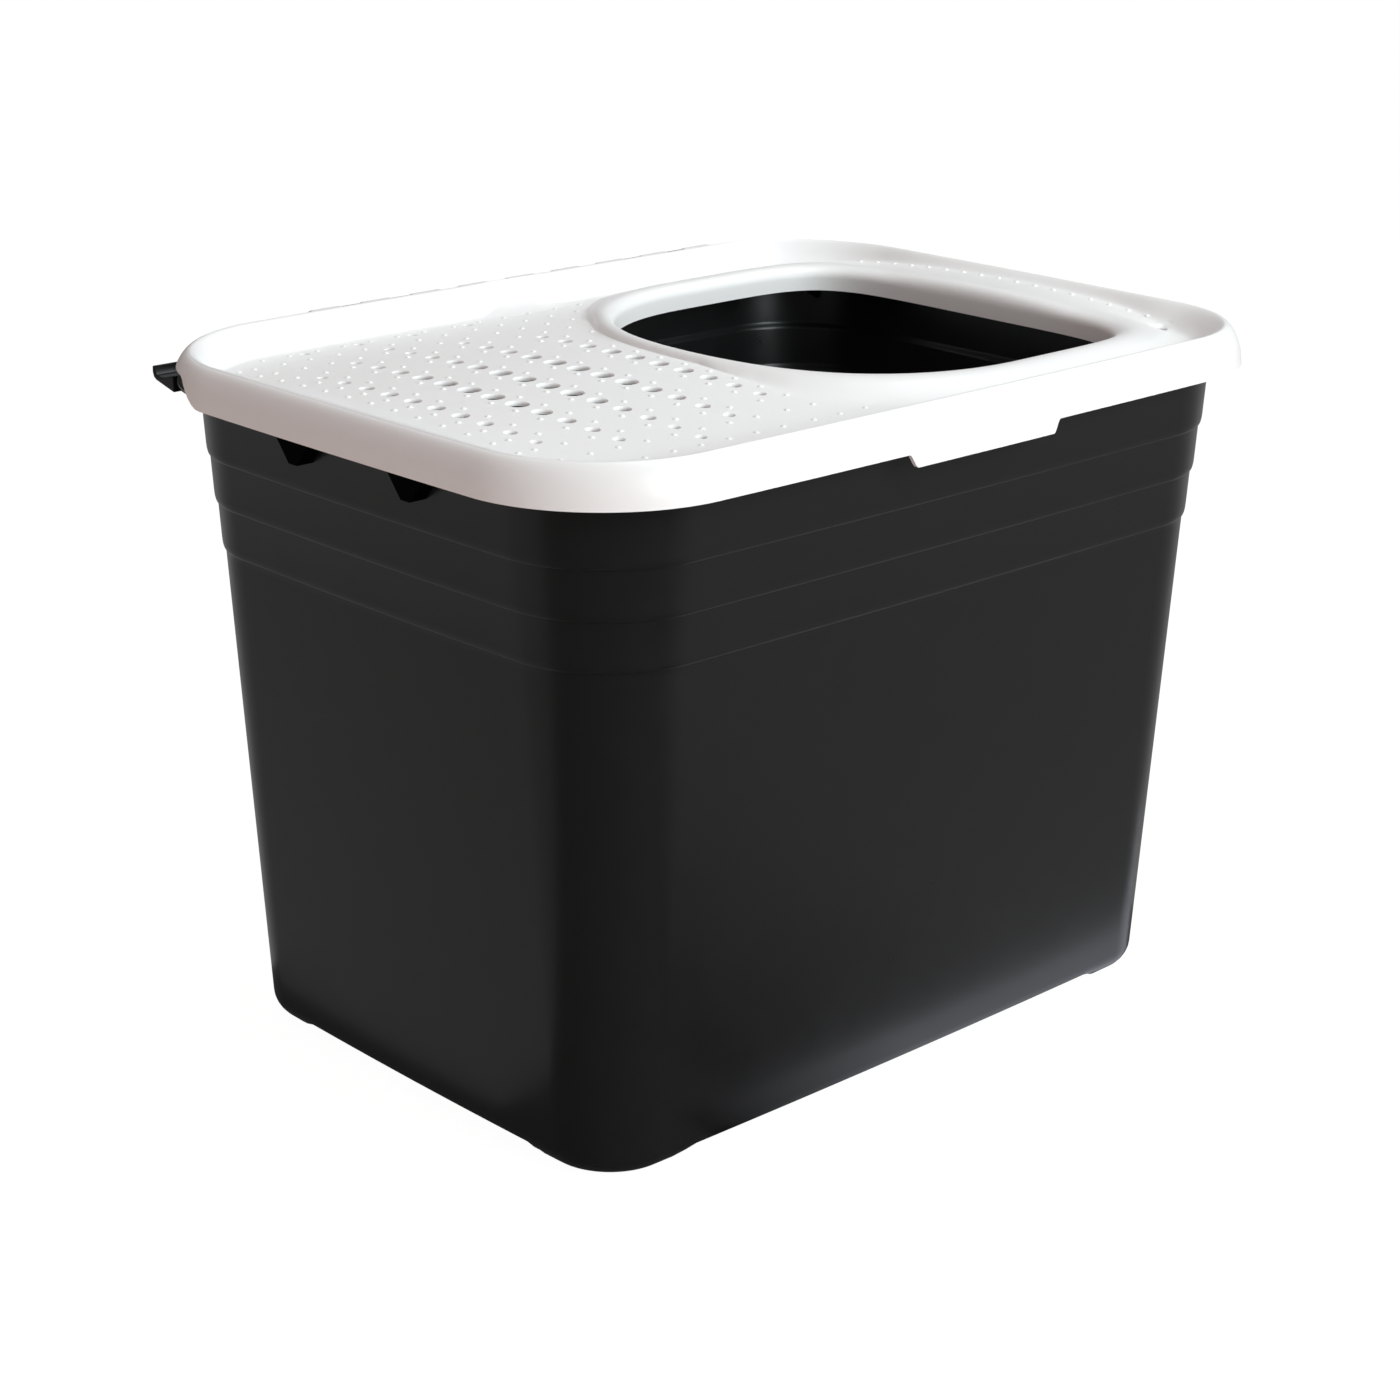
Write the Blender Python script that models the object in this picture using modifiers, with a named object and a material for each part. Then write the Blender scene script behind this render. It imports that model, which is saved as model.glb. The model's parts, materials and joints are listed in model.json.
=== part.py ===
"""Top-entry cat litter box with a hinged, perforated lid, as separate moulded pieces.

Units are metres, +Z is up. +X runs along the long side towards the entry opening,
+Y points to the hinge side. The origin is on the floor, below the middle of the whole box
with its hinge. Every part hangs on one empty, set in from that origin by FRAME_SHIFT_Y,
and is modelled about the tub's own centre line.
"""
from math import cos, pi, sin

import bmesh
import bpy
from mathutils import Matrix, Vector

ASSEMBLY = "cat_litter_box"

# --- tub -------------------------------------------------------------------
TUB_LENGTH = 0.4477          # outside, extrapolated to the floor
TUB_WIDTH = 0.3159
TUB_HEIGHT = 0.3812          # top of the rim flange
TUB_WALL = 0.0026
FLOOR_THICKNESS = 0.0026
DRAFT_LENGTH = 0.0605        # outward lean of the end walls, per metre of height
DRAFT_WIDTH = 0.0555
CORNER_RADIUS_FOOT = 0.038
CORNER_RADIUS_TOP = 0.062
SIDE_BOW = 0.0028            # how far the middle of each side stands out
FOOT_FILLET = 0.013
FOOT_HEIGHT = 0.007          # corner feet below the underside between them
FOOT_LENGTH = 0.061          # along each side, from the tub's outer edge
LEDGE_DROPS = (0.0954, 0.0683, 0.0413)      # top of the flange to the start of each ledge
LEDGE_HEIGHTS = tuple(TUB_HEIGHT - drop for drop in LEDGE_DROPS)
LEDGE_STEP = 0.00155
LEDGE_RISE = 0.005
FLANGE_REACH = 0.0118
FLANGE_THICKNESS = 0.003

# --- end ribs under the flange -----------------------------------------------
RIB_DEPTH = 0.0131
RIB_TIP_HALF = 0.0035          # half of the flat at the lowest edge
RIB_TIP_DROP = 0.0198        # below the underside of the flange
RIB_SPACING = 0.0940
RIB_SHIFT = -0.0086          # the pair sits a little towards the front

# --- rubber pads ---------------------------------------------------------------
PAD_RADIUS = 0.011
PAD_THICKNESS = 0.0025
PAD_PROUD = 0.0010
PAD_INSET = 0.038            # pad centre from the tub's outer edges
FIT_GAP = 0.0003             # between neighbours that touch

# --- lid -------------------------------------------------------------------
LID_OVERHANG_LENGTH = 0.0066374   # tub flange to the lid's outer edge, each end
LID_OVERHANG_WIDTH = 0.0044434
FLANGE_OUT = len(LEDGE_HEIGHTS) * LEDGE_STEP + FLANGE_REACH
LID_LENGTH = TUB_LENGTH + 2 * (DRAFT_LENGTH * TUB_HEIGHT + FLANGE_OUT + LID_OVERHANG_LENGTH)
LID_WIDTH = TUB_WIDTH + 2 * (DRAFT_WIDTH * TUB_HEIGHT + FLANGE_OUT + LID_OVERHANG_WIDTH)
LID_HEIGHT = TUB_HEIGHT + 0.0158  # rim crest above the floor
LID_CORNER_RADIUS = 0.082
LID_WALL = 0.0025
SKIRT_DROP = 0.022           # rim crest to the skirt's lower edge
RIM_INSET = 0.026            # outer edge to the foot of the rim's inner slope
DECK_DROP_EDGE = 0.0129      # rim crest to the deck's long borders
DECK_CROWN = 0.0028          # the deck's middle above its long borders
TAB_LENGTH = 0.116
TAB_DROP = 0.0064
TAB_CORNER = 0.006
SKIRT_CUT_START = 0.082      # rear edge to where the end skirts start to rise
SKIRT_CUT_END = 0.048
SKIRT_CUT_RISE = 0.0133

# --- entry opening ------------------------------------------------------------
OPENING_CENTRE_X = LID_LENGTH / 2 - 0.171
OPENING_LENGTH = 0.238       # along X
OPENING_WIDTH = 0.266        # along Y
OPENING_POWER_LEFT = 2.3     # superellipse exponent: rounder towards the deck
OPENING_POWER_RIGHT = 5.5
RING_REACH = 0.0125          # inner wall to the ring's outer foot
RING_DROP = 0.007            # rim crest to the ring's crest
COLLAR_DROP = 0.022          # rim crest to the collar's lower edge

# --- deck holes ----------------------------------------------------------------
HOLE_COLUMNS = (             # in from the lid's left edge, first and last row, share of the radius
    (0.0687, -4, 5, 0.72), (0.1062, -5, 6, 1.0), (0.1440, -6, 7, 1.0),
    (0.1824, -5, 6, 1.0), (0.2238, -4, 5, 0.85),
)
HOLE_ROW_PITCH = 0.01985
HOLE_ROW_ORIGIN = -0.00365   # Y of row 0
HOLE_MIDDLE_ROW = 0.5
HOLE_LARGE_ROWS = 1.5        # rows either side of the middle that keep the large radius
HOLE_LARGE_RADIUS = 0.0060
HOLE_SHRINK = 0.0008         # radius lost per row beyond those
REAR_HOLE_Y = LID_WIDTH / 2 - 0.0365
REAR_HOLE_RADIUS = 0.0026
DRAIN_X = LID_LENGTH / 2 - 0.030
DRAIN_Y = 0.076 - LID_WIDTH / 2
DRAIN_RADIUS = 0.0035

# --- hinge ---------------------------------------------------------------------
HINGE_SETBACK = 0.0          # rod axis from the lid's rear edge line
HINGE_DROP = 0.007           # rod axis below the rim crest
LID_KNUCKLE_RADIUS = 0.0055
LID_KNUCKLE_LENGTH = 0.022
KNUCKLE_PITCH = 0.0366
KNUCKLE_COUNT = 9
KNUCKLE_CENTRE_X = 0.0247
TUB_KNUCKLE_RADIUS = 0.0050
KNUCKLE_SPACE = 0.00155      # between a lid knuckle and a tub knuckle
TUB_KNUCKLE_LENGTH = KNUCKLE_PITCH - LID_KNUCKLE_LENGTH - 2 * KNUCKLE_SPACE
TUB_KNUCKLE_GAPS = (0, 1, 6, 7)   # spaces between lid knuckles that hold a tub knuckle
ROD_RADIUS = 0.0019
ROD_CLEARANCE = 0.0003
NOTCH_CLEARANCE = 0.0012
CAP_RADIUS = 0.0040
CAP_LENGTH = 0.0050
CAP_WALL = 0.0014

# --- hinge gutter on the tub ---------------------------------------------------
GUTTER_LENGTH = LID_LENGTH - 0.056
GUTTER_FLOOR_DROP = 0.022    # rim crest to the channel's floor
GUTTER_WALL = 0.0034
GUTTER_LIP_RISE = 0.0026
GUTTER_LIP_THICKNESS = 0.0030
GUTTER_SLOPE = 0.22          # fall of the underside towards the tub wall

ARC_STEPS = 6
SIDE_STEPS = 4
ROUND_STEPS = 12

HINGE_Y = LID_WIDTH / 2 + HINGE_SETBACK
HINGE_Z = LID_HEIGHT - HINGE_DROP
FRONT_REACH = LID_WIDTH / 2 + SIDE_BOW
REAR_REACH = HINGE_Y + max(LID_KNUCKLE_RADIUS, GUTTER_LIP_THICKNESS)
FRAME_SHIFT_Y = (FRONT_REACH - REAR_REACH) / 2


def clear_scene():
    """Remove every object that the scene starts with."""
    for item in list(bpy.data.objects):
        bpy.data.objects.remove(item, do_unlink=True)


def new_collection(name):
    """Make a collection linked to the scene."""
    group = bpy.data.collections.new(name)
    bpy.context.scene.collection.children.link(group)
    return group


def plastic(name, colour, roughness):
    """Principled material for a moulded plastic or rubber."""
    material = bpy.data.materials.new(name)
    material.use_nodes = True
    shader = material.node_tree.nodes["Principled BSDF"]
    shader.inputs["Base Color"].default_value = (*colour, 1.0)
    shader.inputs["Roughness"].default_value = roughness
    shader.inputs["Metallic"].default_value = 0.0
    return material


def object_from_bmesh(name, mesh_data, group, material=None):
    """Turn a bmesh into an object in a collection."""
    mesh = bpy.data.meshes.new(name)
    mesh_data.to_mesh(mesh)
    mesh_data.free()
    item = bpy.data.objects.new(name, mesh)
    group.objects.link(item)
    if material is not None:
        mesh.materials.append(material)
    return item


def as_tool(item):
    """Mark an object as a cutter or a joined-in shape that isn't a part."""
    item.hide_render = True
    item.display_type = "WIRE"
    return item


def boolean(item, tool, operation):
    """Add an exact Boolean of a tool object to an item."""
    step = item.modifiers.new(f"{operation.lower()}_{tool.name}", "BOOLEAN")
    step.operation = operation
    step.solver = "EXACT"
    step.object = tool
    return step


def rounded_outline(half_x, half_y, radius, bow):
    """Rounded rectangle with slightly bowed sides, counter-clockwise, as (x, y) points."""
    points = []
    corners = ((1, 1, 0.0), (-1, 1, pi / 2), (-1, -1, pi), (1, -1, 1.5 * pi))
    for index, (sign_x, sign_y, start) in enumerate(corners):
        centre = Vector((sign_x * (half_x - radius), sign_y * (half_y - radius)))
        for step in range(ARC_STEPS + 1):
            angle = start + (pi / 2) * step / ARC_STEPS
            points.append(centre + radius * Vector((cos(angle), sin(angle))))
        following = corners[(index + 1) % 4]
        next_centre = Vector((following[0] * (half_x - radius), following[1] * (half_y - radius)))
        begin = points[-1].copy()
        finish = next_centre + radius * Vector((cos(following[2]), sin(following[2])))
        for step in range(1, SIDE_STEPS):
            points.append(begin.lerp(finish, step / SIDE_STEPS))
    bowed = []
    for point in points:
        across_x = point.x / half_x
        across_y = point.y / half_y
        bowed.append(Vector((point.x + bow * across_x * (1 - across_y ** 2),
                             point.y + bow * across_y * (1 - across_x ** 2))))
    return bowed


def add_ring(mesh_data, outline, height):
    """Add one closed ring of vertices at a height, or at a height for each point."""
    heights = height if isinstance(height, list) else [height] * len(outline)
    return [mesh_data.verts.new((p.x, p.y, z)) for p, z in zip(outline, heights)]


def skin_rings(mesh_data, lower, upper):
    """Join two rings with a band of quads."""
    count = len(lower)
    for index in range(count):
        after = (index + 1) % count
        mesh_data.faces.new((lower[index], lower[after], upper[after], upper[index]))


def box_tool(name, low, high, group):
    """Axis-aligned box between two corners, as a tool."""
    mesh_data = bmesh.new()
    bmesh.ops.create_cube(mesh_data, size=1.0)
    size = Vector(high) - Vector(low)
    middle = (Vector(high) + Vector(low)) / 2
    bmesh.ops.scale(mesh_data, vec=size, verts=mesh_data.verts)
    bmesh.ops.translate(mesh_data, vec=middle, verts=mesh_data.verts)
    return as_tool(object_from_bmesh(name, mesh_data, group))


def add_prism_x(mesh_data, profile, start_x, end_x):
    """Add a closed prism: a (y, z) profile carried along X."""
    near = [mesh_data.verts.new((start_x, y, z)) for y, z in profile]
    far = [mesh_data.verts.new((end_x, y, z)) for y, z in profile]
    skin_rings(mesh_data, near, far)
    mesh_data.faces.new(near)
    mesh_data.faces.new(far)


def add_cylinder_x(mesh_data, centre, radius, length, steps=ROUND_STEPS):
    """Add a closed cylinder whose axis is along X."""
    turn = Matrix.Translation(centre) @ Matrix.Rotation(pi / 2, 4, "Y")
    bmesh.ops.create_cone(mesh_data, cap_ends=True, segments=steps, radius1=radius,
                          radius2=radius, depth=length, matrix=turn)


def add_cylinder_z(mesh_data, centre, radius, length, steps=ROUND_STEPS):
    """Add a closed cylinder whose axis is along Z."""
    bmesh.ops.create_cone(mesh_data, cap_ends=True, segments=steps, radius1=radius,
                          radius2=radius, depth=length, matrix=Matrix.Translation(centre))


def outward(mesh_data):
    """Turn every closed shell's faces outwards."""
    bmesh.ops.recalc_face_normals(mesh_data, faces=mesh_data.faces)


# --- tub -------------------------------------------------------------------
def tub_half_sizes(height):
    """Outside half length, half width and corner radius of the tub below its ledges."""
    half_x = TUB_LENGTH / 2 + DRAFT_LENGTH * height
    half_y = TUB_WIDTH / 2 + DRAFT_WIDTH * height
    share = height / TUB_HEIGHT
    radius = CORNER_RADIUS_FOOT + (CORNER_RADIUS_TOP - CORNER_RADIUS_FOOT) * share
    return half_x, half_y, radius


def tub_outline(height, offset):
    """Outline of the tub at a height, pushed out by an offset."""
    half_x, half_y, radius = tub_half_sizes(height)
    return rounded_outline(half_x + offset, half_y + offset, radius + offset, SIDE_BOW)


def tub_side_levels():
    """(height, offset) pairs up the outside wall, with the three ledges."""
    levels = []
    for index, height in enumerate(LEDGE_HEIGHTS):
        levels.append((height, index * LEDGE_STEP))
        levels.append((height + LEDGE_RISE, (index + 1) * LEDGE_STEP))
    return levels


def build_tub(parts, tools, material):
    """Tapered one-piece tub with ledges, flange, hinge gutter, ribs and feet."""
    foot_z = PAD_PROUD
    floor_top = foot_z + FOOT_HEIGHT + FLOOR_THICKNESS
    full_offset = len(LEDGE_HEIGHTS) * LEDGE_STEP
    flange_under = TUB_HEIGHT - FLANGE_THICKNESS
    outer = [(foot_z, -FOOT_FILLET), (foot_z + 0.3 * FOOT_FILLET, -0.29 * FOOT_FILLET),
             (foot_z + FOOT_FILLET, 0.0)]
    outer += tub_side_levels()
    outer += [(flange_under, full_offset), (flange_under, full_offset + FLANGE_REACH),
              (TUB_HEIGHT, full_offset + FLANGE_REACH)]
    inner = [(TUB_HEIGHT, full_offset - TUB_WALL)]
    inner += [(height, offset - TUB_WALL) for height, offset in reversed(tub_side_levels())]
    inner += [(floor_top + FOOT_FILLET, -TUB_WALL), (floor_top, -FOOT_FILLET)]

    mesh_data = bmesh.new()
    rings = [add_ring(mesh_data, tub_outline(height, offset), height)
             for height, offset in outer + inner]
    for lower, upper in zip(rings, rings[1:]):
        skin_rings(mesh_data, lower, upper)
    mesh_data.faces.new(list(reversed(rings[0])))
    mesh_data.faces.new(rings[-1])
    outward(mesh_data)
    tub = object_from_bmesh("litter_tub", mesh_data, parts, material)

    half_x, half_y, _ = tub_half_sizes(0.0)
    cut_x = half_x - FOOT_LENGTH
    cut_y = half_y - FOOT_LENGTH
    cut_top = foot_z + FOOT_HEIGHT
    boolean(tub, box_tool("underside_cut_x", (-1.2 * half_x, -cut_y, -cut_top),
                          (1.2 * half_x, cut_y, cut_top), tools), "DIFFERENCE")
    boolean(tub, box_tool("underside_cut_y", (-cut_x, -1.2 * half_y, -cut_top),
                          (cut_x, 1.2 * half_y, cut_top), tools), "DIFFERENCE")
    boolean(tub, pad_recess_tool(tools), "DIFFERENCE")
    boolean(tub, rear_flange_cut(tools), "DIFFERENCE")
    boolean(tub, gutter_tool(tools), "UNION")
    boolean(tub, rib_tool(tools), "UNION")
    boolean(tub, tub_knuckle_tool(tools), "UNION")
    boolean(tub, rod_bore_tool("tub_rod_bore", tools), "DIFFERENCE")
    return tub


def pad_places():
    """Name and centre of each pad, in the tub's four corner feet."""
    half_x, half_y, _ = tub_half_sizes(0.0)
    x = half_x - PAD_INSET
    y = half_y - PAD_INSET
    return {"foot_pad_front_left": (-x, -y), "foot_pad_front_right": (x, -y),
            "foot_pad_rear_left": (-x, y), "foot_pad_rear_right": (x, y)}


def pad_recess_tool(tools):
    """Shallow round seats for the pads, all in one tool."""
    mesh_data = bmesh.new()
    depth = PAD_THICKNESS + FIT_GAP
    for x, y in pad_places().values():
        add_cylinder_z(mesh_data, (x, y, 0.0), PAD_RADIUS + FIT_GAP, 2 * depth, 2 * ROUND_STEPS)
    return as_tool(object_from_bmesh("pad_recesses", mesh_data, tools))


def build_pads(parts, material):
    """Four anti-slip rubber discs pressed into the feet."""
    for name, (x, y) in pad_places().items():
        mesh_data = bmesh.new()
        add_cylinder_z(mesh_data, (0, 0, PAD_THICKNESS / 2), PAD_RADIUS, PAD_THICKNESS,
                       2 * ROUND_STEPS)
        pad = object_from_bmesh(name, mesh_data, parts, material)
        pad.location = (x, y, 0.0)


def rear_wall_y():
    """Outside face of the tub's rear wall under the flange."""
    full_offset = len(LEDGE_HEIGHTS) * LEDGE_STEP
    return tub_half_sizes(TUB_HEIGHT)[1] + full_offset


def rear_flange_cut(tools):
    """Takes the flange away along the straight of the rear side, where the gutter runs."""
    half_x, _, radius = tub_half_sizes(TUB_HEIGHT)
    reach_x = half_x - radius
    low = (-reach_x, rear_wall_y() + SIDE_BOW + FIT_GAP, TUB_HEIGHT - 2 * FLANGE_THICKNESS)
    high = (reach_x, rear_wall_y() + 3 * FLANGE_REACH, TUB_HEIGHT + FLANGE_THICKNESS)
    return box_tool("rear_flange_cut", low, high, tools)


def gutter_profile():
    """(y, z) section of the hinge gutter, from the tub wall out to its lip."""
    floor_z = LID_HEIGHT - GUTTER_FLOOR_DROP
    root_y = rear_wall_y() - TUB_WALL / 2
    lip_out = HINGE_Y + GUTTER_LIP_THICKNESS
    lip_in = HINGE_Y - GUTTER_LIP_THICKNESS / 2
    under_lip = floor_z - GUTTER_WALL
    under_root = under_lip - GUTTER_SLOPE * (lip_out - root_y)
    return [(root_y, under_root), (lip_out - GUTTER_LIP_THICKNESS, under_lip),
            (lip_out, floor_z - 0.3 * GUTTER_WALL), (HINGE_Y, floor_z + GUTTER_LIP_RISE),
            (lip_in, floor_z), (root_y, floor_z)]


def gutter_tool(tools):
    """Channel along the rear of the tub, joined into it."""
    mesh_data = bmesh.new()
    add_prism_x(mesh_data, gutter_profile(), -GUTTER_LENGTH / 2, GUTTER_LENGTH / 2)
    corner_y = tub_half_sizes(TUB_HEIGHT)[1] - CORNER_RADIUS_TOP * 0.45
    floor_z = LID_HEIGHT - GUTTER_FLOOR_DROP
    fall = GUTTER_SLOPE * (HINGE_Y - corner_y)
    web_end = HINGE_Y - GUTTER_LIP_THICKNESS
    web_under = floor_z - GUTTER_WALL - FIT_GAP
    web_top = floor_z - GUTTER_WALL / 2
    web = [(corner_y, web_under - fall), (web_end, web_under), (web_end, web_top),
           (corner_y, web_top)]
    for side in (-1, 1):
        end = side * GUTTER_LENGTH / 2
        add_prism_x(mesh_data, web, end - side * GUTTER_WALL, end - side * 2 * GUTTER_WALL)
    outward(mesh_data)
    gutter = as_tool(object_from_bmesh("hinge_gutter", mesh_data, tools))
    return gutter


def rib_tool(tools):
    """Two V ribs with blunt tips under the flange of each end wall."""
    mesh_data = bmesh.new()
    top = TUB_HEIGHT - FLANGE_THICKNESS / 2
    tip = TUB_HEIGHT - FLANGE_THICKNESS - RIB_TIP_DROP
    half_top = top - tip
    wall_x = tub_half_sizes(tip)[0] + len(LEDGE_HEIGHTS) * LEDGE_STEP
    for side in (-1, 1):
        for place in (-0.5, 0.5):
            y = RIB_SHIFT + place * RIB_SPACING
            profile = [(y - half_top, top), (y - RIB_TIP_HALF, tip), (y + RIB_TIP_HALF, tip),
                       (y + half_top, top)]
            start = side * (wall_x + SIDE_BOW - TUB_WALL / 2)
            add_prism_x(mesh_data, profile, start, side * (wall_x + RIB_DEPTH))
    outward(mesh_data)
    return as_tool(object_from_bmesh("end_ribs", mesh_data, tools))


# --- hinge -----------------------------------------------------------------------
def lid_knuckle_x(index):
    """Centre of one lid knuckle along the rod."""
    return KNUCKLE_CENTRE_X + (index - (KNUCKLE_COUNT - 1) / 2) * KNUCKLE_PITCH


def tub_knuckle_x(gap):
    """Centre of the tub knuckle between two lid knuckles."""
    return (lid_knuckle_x(gap) + lid_knuckle_x(gap + 1)) / 2


def rod_ends():
    """First and last X of the hinge rod."""
    reach = LID_KNUCKLE_LENGTH / 2 + CAP_LENGTH
    return lid_knuckle_x(0) - reach, lid_knuckle_x(KNUCKLE_COUNT - 1) + reach


def tub_knuckle_tool(tools):
    """Knuckles that stand on the gutter's lip, joined into the tub."""
    mesh_data = bmesh.new()
    floor_z = LID_HEIGHT - GUTTER_FLOOR_DROP
    half = TUB_KNUCKLE_LENGTH / 2
    arm = TUB_KNUCKLE_RADIUS * 0.5
    for gap in TUB_KNUCKLE_GAPS:
        x = tub_knuckle_x(gap)
        root_z = floor_z - GUTTER_WALL / 2
        profile = [(HINGE_Y - arm, root_z), (HINGE_Y + arm, root_z)]
        for step in range(ROUND_STEPS + 1):
            angle = -pi / 3 + (5 * pi / 3) * step / ROUND_STEPS
            profile.append((HINGE_Y + TUB_KNUCKLE_RADIUS * cos(angle),
                            HINGE_Z + TUB_KNUCKLE_RADIUS * sin(angle)))
        add_prism_x(mesh_data, profile, x - half, x + half)
    outward(mesh_data)
    return as_tool(object_from_bmesh("tub_knuckles", mesh_data, tools))


def lid_knuckle_tool(tools):
    """Fingers along the lid's rear edge, joined into the lid."""
    mesh_data = bmesh.new()
    for index in range(KNUCKLE_COUNT):
        add_cylinder_x(mesh_data, (lid_knuckle_x(index), HINGE_Y, HINGE_Z), LID_KNUCKLE_RADIUS,
                       LID_KNUCKLE_LENGTH)
    return as_tool(object_from_bmesh("lid_knuckles", mesh_data, tools))


def rod_bore_tool(name, tools):
    """Bore for the hinge rod, right through every knuckle."""
    start, end = rod_ends()
    mesh_data = bmesh.new()
    add_cylinder_x(mesh_data, ((start + end) / 2, HINGE_Y, HINGE_Z), ROD_RADIUS + ROD_CLEARANCE,
                   1.2 * (end - start))
    return as_tool(object_from_bmesh(name, mesh_data, tools))


def knuckle_notch_tool(tools):
    """Room in the lid's rear edge for each tub knuckle and rod cap to turn."""
    mesh_data = bmesh.new()
    length = TUB_KNUCKLE_LENGTH + 2 * NOTCH_CLEARANCE
    radius = TUB_KNUCKLE_RADIUS + NOTCH_CLEARANCE
    for gap in TUB_KNUCKLE_GAPS:
        add_cylinder_x(mesh_data, (tub_knuckle_x(gap), HINGE_Y, HINGE_Z), radius, length)
    for x, side in zip(rod_ends(), (-1, 1)):
        inner = x - side * CAP_LENGTH
        outer = x + side * (CAP_WALL + NOTCH_CLEARANCE)
        add_cylinder_x(mesh_data, ((inner + outer) / 2, HINGE_Y, HINGE_Z),
                       CAP_RADIUS + NOTCH_CLEARANCE, abs(outer - inner))
    return as_tool(object_from_bmesh("knuckle_notches", mesh_data, tools))


def build_rod(parts, material):
    """Straight hinge rod; its origin is on the hinge axis."""
    start, end = rod_ends()
    mesh_data = bmesh.new()
    add_cylinder_x(mesh_data, (0, 0, 0), ROD_RADIUS, end - start)
    rod = object_from_bmesh("hinge_rod", mesh_data, parts, material)
    rod.location = ((start + end) / 2, HINGE_Y, HINGE_Z)
    return rod


def build_rod_caps(parts, material):
    """Push-on caps that keep the rod in its knuckles."""
    start, end = rod_ends()
    for name, x, side in (("rod_cap_left", start, -1), ("rod_cap_right", end, 1)):
        inner = ROD_RADIUS + FIT_GAP
        mouth = -side * (CAP_LENGTH - 4 * FIT_GAP)
        close = side * CAP_WALL
        seat = side * FIT_GAP
        mesh_data = bmesh.new()
        stations = ((mouth, inner), (mouth, CAP_RADIUS), (close, CAP_RADIUS), (seat, inner))
        rings = []
        for along, radius in stations:
            ring = []
            for step in range(ROUND_STEPS):
                angle = 2 * pi * step / ROUND_STEPS
                ring.append(mesh_data.verts.new((along, radius * cos(angle), radius * sin(angle))))
            rings.append(ring)
        skin_rings(mesh_data, rings[0], rings[1])
        skin_rings(mesh_data, rings[1], rings[2])
        mesh_data.faces.new(rings[2])
        skin_rings(mesh_data, rings[3], rings[0])
        mesh_data.faces.new(rings[3])
        outward(mesh_data)
        cap = object_from_bmesh(name, mesh_data, parts, material)
        cap.location = (x, HINGE_Y, HINGE_Z)


# --- lid -------------------------------------------------------------------
def lid_outline(inset):
    """Outline of the lid pulled in by an inset."""
    return rounded_outline(LID_LENGTH / 2 - inset, LID_WIDTH / 2 - inset,
                           LID_CORNER_RADIUS - inset, SIDE_BOW)


def deck_height(y):
    """Height of the crowned deck at a distance from the centre line."""
    border = LID_WIDTH / 2 - RIM_INSET
    return LID_HEIGHT - DECK_DROP_EDGE - LID_WALL * 0.2 + DECK_CROWN * (1 - (y / border) ** 2)


def rim_levels():
    """(inset, height) pairs over the rim, from the skirt's edge to its inner slope."""
    edge = LID_HEIGHT - SKIRT_DROP
    return [(0.0, edge), (0.0012, edge + 0.009), (0.0030, edge + 0.0145),
            (0.0060, edge + 0.0195), (0.0105, LID_HEIGHT), (0.0150, LID_HEIGHT - 0.0022),
            (0.0190, LID_HEIGHT - 0.0065)]


def build_lid(parts, tools, material):
    """One-piece lid: skirt, rim, crowned deck, entry ring and hinge fingers."""
    mesh_data = bmesh.new()
    rings = [add_ring(mesh_data, lid_outline(inset), height) for inset, height in rim_levels()]
    border = lid_outline(RIM_INSET)
    rings.append(add_ring(mesh_data, border, [deck_height(p.y) for p in border]))
    for lower, upper in zip(rings, rings[1:]):
        skin_rings(mesh_data, lower, upper)
    cross_deck(mesh_data, rings[-1])
    mesh_data.normal_update()
    outer_face = max(mesh_data.faces, key=lambda face: abs(face.normal.z))
    if outer_face.normal.z < 0:
        bmesh.ops.reverse_faces(mesh_data, faces=mesh_data.faces)
    lid = object_from_bmesh("lid", mesh_data, parts, material)
    wall = lid.modifiers.new("wall", "SOLIDIFY")
    wall.thickness = LID_WALL
    wall.offset = -1.0
    wall.use_even_offset = True

    boolean(lid, opening_tool(tools), "DIFFERENCE")
    boolean(lid, ring_tool(tools), "UNION")
    boolean(lid, tab_tool(tools), "UNION")
    boolean(lid, skirt_cut_tool(tools), "DIFFERENCE")
    boolean(lid, lid_knuckle_tool(tools), "UNION")
    boolean(lid, knuckle_notch_tool(tools), "DIFFERENCE")
    boolean(lid, rod_bore_tool("lid_rod_bore", tools), "DIFFERENCE")
    boolean(lid, hole_tool(tools), "DIFFERENCE")
    return lid


def cross_deck(mesh_data, ring):
    """Fill the deck with strips that join points of equal Y on its two ends."""
    half = sorted((v for v in ring if v.co.x > 0), key=lambda v: v.co.y)
    pairs = []
    for vertex in half:
        mirror = min(ring, key=lambda v: (v.co.x + vertex.co.x) ** 2 + (v.co.y - vertex.co.y) ** 2)
        pairs.append((mirror, vertex))
    for (left, right), (left_next, right_next) in zip(pairs, pairs[1:]):
        mesh_data.faces.new((left, right, right_next, left_next))
    for left, right in (pairs[0], pairs[-1]):
        ends = [v for v in ring if abs(v.co.x) < right.co.x - 1e-5
                and abs(v.co.y) >= abs(right.co.y) - 1e-5 and v.co.y * right.co.y > 0]
        if ends:
            row = sorted(ends + [left, right], key=lambda v: v.co.x * (-1 if right.co.y > 0 else 1))
            mesh_data.faces.new(row)


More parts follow.
